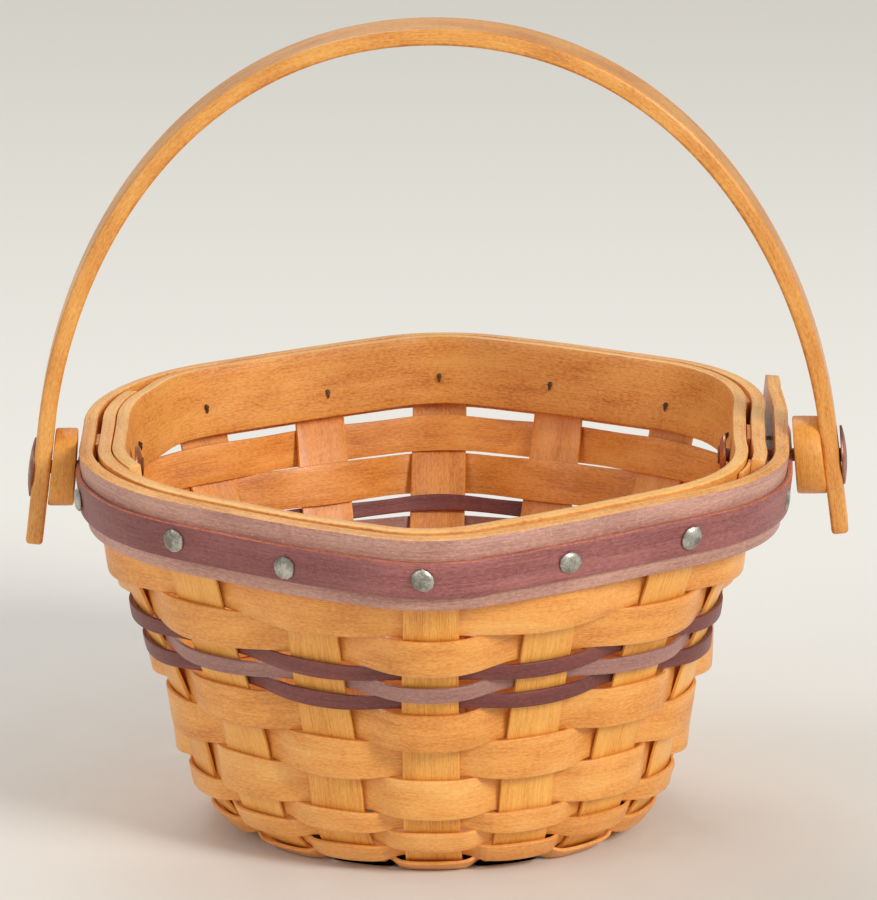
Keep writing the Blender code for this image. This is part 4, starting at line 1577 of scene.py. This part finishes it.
@dataclass
class Handle:
    """The bow, and the rivets, blocks and burrs that carry it.

    The blocks and rivets turn with the bow, so that their slanted faces stay flat against its legs.
    """

    palette: Palette
    leg_shift: float = 0.0005
    seat: float = 0.0001
    right_inset: float = 0.0020
    block_slant: float = 0.070
    sags: tuple[float, float] = (-0.0011, 0.0013)
    tail_lifts: tuple[float, float] = (0.0, 0.0020)
    head_slants: tuple[float, float] = (0.110, 0.060)
    head_settle: float = 0.4
    head_sink: float = 0.0001
    pivot: float = 0.0843
    span: float = 0.1848
    reach: float = 0.1033
    width: float = 0.0127
    thickness: float = 0.0039
    leg_straight: float = 0.0094
    leg_rise: float = 0.462
    leg_lean: float = 0.1165
    shoulder: float = 0.609
    tail: float = 0.0180
    ease: float = 0.0009
    ease_steps: int = 4
    waver: tuple[float, int] = (0.00018, 5)
    bow_steps: int = 130
    leg_steps: int = 24
    across_steps: int = 8
    rivet_radius: float = 0.0068
    rivet_tail: tuple[tuple[float, float], ...] = (
        (0.0019, -0.0007), (0.0022, -0.0004), (0.0016, 0.0), (0.0015, 0.0004),
    )
    rivet_neck: tuple[tuple[float, float], ...] = ((0.0015, -0.0004), (0.0016, 0.0))
    rivet_head: tuple[tuple[float, float], ...] = (
        (0.985, 0.0), (1.0, 0.00025), (0.985, 0.0005), (0.90, 0.00068), (0.60, 0.00105),
        (0.25, 0.00125), (0.08, 0.0013),
    )
    block_radius: float = 0.0089
    block_ease: float = 0.0005
    block_swell: float = 1.004
    burr_radius: float = 0.0047
    burr_outer: tuple[tuple[float, float], ...] = ((0.97, 0.0), (1.0, -0.0002), (0.98, -0.0006))
    burr_inner: tuple[tuple[float, float], ...] = ((0.86, 0.0002), (0.62, -0.0002), (0.48, -0.0003))
    sides: int = 48
    smooth_angle: float = math.radians(40)

    def path(self) -> np.ndarray:
        """Middle of the bow in the XZ plane, from the left tail to the right one.

        Returns:
            The places, as (count, 2).
        """
        half = self.span / 2 - self.thickness / 2
        top = self.reach - self.thickness / 2
        pull = (top - self.leg_straight) * self.leg_rise
        knee = half - self.leg_straight * self.leg_lean
        bow = bezier(
            [
                (0.0, top), (half * self.shoulder, top),
                (knee - pull * self.leg_lean, self.leg_straight + pull), (knee, self.leg_straight),
            ], self.bow_steps,
        )
        sides = []
        for lift in self.tail_lifts:
            down = np.linspace(self.leg_straight, lift - self.tail, self.leg_steps)[1:]
            leg = np.stack([half - down * self.leg_lean, down], 1)
            sides.append(np.concatenate([bow, leg]))
        whole = np.concatenate([sides[0][:0:-1] * np.array([-1, 1]), sides[1]])
        whole[:, 0] += self.leg_shift * np.clip(1 - whole[:, 1] / top, 0, 1)
        return whole

    def bow(self) -> bpy.types.Object:
        """Models the bow.

        Returns:
            The finished bow.
        """
        path = self.path()
        count = len(path)
        parts = np.linspace(-0.5, 0.5, self.across_steps + 1)
        width = self.width + wander("bow", count, *self.waver, closed=False)
        grid = np.zeros((count, len(parts), 3))
        for column, part in enumerate(parts):
            grid[:, column, 0] = path[:, 0]
            grid[:, column, 1] = part * width
            grid[:, column, 2] = path[:, 1] + self.pivot
        piece = Bench.sheet("handle_bow", grid, closed=False)
        Bench.thicken(piece, self.thickness, self.ease, [self.palette.handle], self.ease_steps)
        Bench.lay_grain(piece, grid)
        return piece

    def turned(
        self, name: str, rings: Sequence[tuple[float, float]], side: Side, material: bpy.types.Material,
        slants: Sequence[tuple[float, float]] = (),
    ) -> bpy.types.Object:
        """A round piece on the rivet's axis.

        Args:
            name: The piece's name.
            rings: Radius and distance from the middle plane of each ring.
            side: Which side it is on.
            material: Its finish.
            slants: Distances beyond which its rings slant like the leaning leg, and by how much.

        Returns:
            The finished piece in its place.
        """
        piece = Bench.lathe(name, rings, self.sides)
        for vert in piece.data.vertices:
            lean = next((lean for start, lean in slants if vert.co.z > start), 0.0)
            vert.co.z += lean * side.value * vert.co.x
        turn = Matrix.Rotation(math.radians(90 * side.value), 4, "Y")
        Bench.place(piece, Matrix.Translation((0, 0, self.pivot + side.of(self.sags))) @ turn)
        piece.data.materials.clear()
        piece.data.materials.append(material)
        bpy.ops.object.shade_smooth_by_angle(angle=self.smooth_angle)
        return piece

    @staticmethod
    def reach_of(node: str) -> tuple[float, float]:
        """Nearest and farthest distance of a node from the middle plane."""
        ends = sorted(abs(corner[0]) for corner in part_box(node))
        return ends[0], ends[1]

    def block(self, side: Side) -> bpy.types.Object:
        """Models the wooden block between the rim and a leg.

        Args:
            side: Which side.

        Returns:
            The finished block.
        """
        near, _ = self.reach_of(f"spacer_{side.name.lower()}")
        far = self.span / 2 + side.value * self.leg_shift - self.thickness - self.seat
        middle = (near + far) / 2
        radius, ease = self.block_radius, self.block_ease
        chamfer = ease * 0.3
        rings = [
            (radius - ease, near), (radius - chamfer, near + chamfer), (radius, near + ease),
            (radius * self.block_swell, middle - ease),
            (radius, far - ease), (radius - chamfer, far - chamfer), (radius - ease, far),
        ]
        slants = [(middle, self.leg_lean), (0.0, self.block_slant)]
        return self.turned(f"spacer_{side.name.lower()}_block", rings, side, self.palette.block, slants)

    def burr_ends(self, side: Side) -> tuple[float, float]:
        """Nearest and farthest distance of a burr from the middle plane.

        Args:
            side: Which side.

        Returns:
            The two distances.
        """
        near, far = self.reach_of(f"burr_{side.name.lower()}")
        inset = self.right_inset if side is Side.RIGHT else 0.0
        return near - inset, far - inset

    def burr(self, side: Side) -> bpy.types.Object:
        """Models the copper burr inside the rim.

        Args:
            side: Which side.

        Returns:
            The finished burr.
        """
        near, far = self.burr_ends(side)
        rings = [(self.burr_radius * share, far + step) for share, step in self.burr_outer]
        rings += [(self.burr_radius * share, near + step) for share, step in self.burr_inner]
        return self.turned(f"burr_{side.name.lower()}_copper", rings, side, self.palette.bright_copper)

    def rivet(self, side: Side) -> bpy.types.Object:
        """Models a rivet: its hammered tail on the burr, its shank and its wide thin head.

        Args:
            side: Which side.

        Returns:
            The finished rivet.
        """
        near, _ = self.burr_ends(side)
        slant = side.of(self.head_slants)
        seat = self.span / 2 + side.value * self.leg_shift + self.seat - self.head_sink
        seat += (self.leg_lean - slant) * self.rivet_radius * self.head_settle
        rings = [(radius, near + step) for radius, step in self.rivet_tail]
        rings += [(radius, seat + step) for radius, step in self.rivet_neck]
        rings += [(self.rivet_radius * share, seat + step) for share, step in self.rivet_head]
        slants = [(seat + self.rivet_neck[0][1] / 2, slant)]
        return self.turned(f"rivet_{side.name.lower()}_copper", rings, side, self.palette.copper, slants)

    def build(self) -> None:
        """Models the handle and its pivots and hands them over."""
        Bench.hand_over(self.bow(), "handle", Body.HANDLE)
        for side in Side:
            word = side.name.lower()
            Bench.hand_over(self.block(side), f"spacer_{word}", Body.HANDLE)
            Bench.hand_over(self.burr(side), f"burr_{word}", Body.BASKET)
            Bench.hand_over(self.rivet(side), f"rivet_{word}", Body.HANDLE)


# Studio


@dataclass(frozen=True)
class Lamp:
    """A soft box."""

    name: str
    place: tuple[float, float, float]
    size: float
    power: float
    colour: Colour = (1.0, 1.0, 1.0)


@dataclass
class Studio:
    """Pale floor with painted shade and a painted shadow, soft boxes and the camera."""

    target: tuple[float, float, float] = (0.00080, 0.0, 0.08865)
    distance: float = 3.528
    elevation: float = 15.33
    azimuth: float = 0.76
    roll: float = -0.35
    focal_pixels: float = 15396.0
    drop_pixels: float = 7.3
    picture_height: float = 900.0
    sensor: float = 36.0
    sight: float = 50.0
    floor_size: float = 14.0
    floor_roughness: float = 0.85
    # The floor's own pale colour, the darker colour of its painted shade and painted shadow, and where
    # each falls.
    floor_pale: Colour = (0.885, 0.868, 0.818)
    floor_painted_shade: Colour = (0.64, 0.62, 0.565)
    far_span: tuple[float, float] = (0.25, 0.95)
    far_painted_shade: float = 0.95
    right_shadow_span: tuple[float, float] = (-0.03, 0.08)
    right_shadow_end: tuple[float, float] = (0.05, 0.11)
    right_painted_shadow: float = 0.27
    front_span: tuple[float, float] = (-0.06, 0.16)
    front_painted_shade: float = 0.28
    aim: tuple[float, float, float] = (0.0, 0.0, 0.08)
    sky: Colour = (1.0, 0.99, 0.96)
    sky_strength: float = 0.45
    lamps: tuple[Lamp, ...] = (
        Lamp("key", (2.0, -2.0, 1.7), 1.1, 66.0, (1.0, 0.985, 0.965)),
        Lamp("fill", (-1.9, -1.5, 1.1), 1.4, 12.5, (0.98, 0.98, 1.0)),
        Lamp("back", (-0.6, 1.8, 2.1), 1.4, 19.0),
    )

    def floor(self) -> None:
        """Lays the pale floor, with painted shade a little dimmer far away and in front, and a painted
        shadow at the right.
        """
        Bench.clear()
        bpy.ops.mesh.primitive_plane_add(size=self.floor_size, location=(0, 0, 0))
        floor = bpy.context.object
        floor.name = "studio_floor"
        recipe = Recipe("pale_floor")
        x, y, _ = recipe.axes(recipe.object_place())
        # Painted shade far away and in front, and a painted shadow beside the basket at the right.
        far = recipe.span(y, *self.far_span)
        right = recipe.span(x, *self.right_shadow_span) * (1.0 - recipe.span(y, *self.right_shadow_end))
        front = 1.0 - recipe.span(y, *self.front_span)
        share = recipe.clamp(far * self.far_painted_shade + right * self.right_painted_shadow + front * self.front_painted_shade)
        colour = recipe.mix(share, self.floor_pale, self.floor_painted_shade)
        floor.data.materials.append(recipe.finish(Base_Color=colour, Roughness=self.floor_roughness))

    def lights(self) -> None:
        """Hangs the soft boxes and sets the sky."""
        for lamp in self.lamps:
            data = bpy.data.lights.new(lamp.name, "AREA")
            data.shape = "DISK"
            data.size = lamp.size
            data.energy = lamp.power
            data.color = lamp.colour
            light = bpy.data.objects.new(lamp.name, data)
            light.location = lamp.place
            aim = Vector(self.aim) - Vector(lamp.place)
            light.rotation_euler = aim.to_track_quat("-Z", "Y").to_euler()
            bpy.context.scene.collection.objects.link(light)
        world = bpy.data.worlds.new("studio_sky")
        world.use_nodes = True
        background = world.node_tree.nodes["Background"]
        background.inputs["Color"].default_value = (*self.sky, 1.0)
        background.inputs["Strength"].default_value = self.sky_strength
        bpy.context.scene.world = world

    def camera(self) -> None:
        """Sets the camera where the picture was taken from."""
        up, turn = math.radians(self.elevation), math.radians(self.azimuth)
        away = Vector((math.sin(turn) * math.cos(up), -math.cos(turn) * math.cos(up), math.sin(up)))
        data = bpy.data.cameras.new("camera")
        data.sensor_fit = "AUTO"
        data.sensor_width = self.sensor
        data.lens = self.focal_pixels * data.sensor_width / self.picture_height
        data.clip_end = self.sight
        camera = bpy.data.objects.new("camera", data)
        quat = (-away).to_track_quat("-Z", "Y")
        tilt = Matrix.Rotation(math.radians(self.roll), 4, "Z")
        camera.matrix_world = quat.to_matrix().to_4x4() @ tilt
        lift = camera.matrix_world.to_3x3() @ Vector((0, 1, 0))
        shift = self.drop_pixels * self.distance / self.focal_pixels
        camera.location = Vector(self.target) + away * self.distance - lift * shift
        bpy.context.scene.collection.objects.link(camera)
        bpy.context.scene.camera = camera

    def build(self) -> None:
        """Sets up the whole studio."""
        self.floor()
        self.lights()
        self.camera()
        bpy.context.scene.view_settings.view_transform = "Standard"


def main() -> None:
    """Builds every piece of the basket and the studio round it."""
    logging.basicConfig(level=logging.INFO, format="%(name)s: %(message)s")
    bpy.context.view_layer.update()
    palette = Palette.mix()
    wall = Wall()
    Weaving(wall, palette).build()
    Rim(wall, palette).build()
    Handle(palette).build()
    Studio().build()


if __name__ == "__main__":
    main()
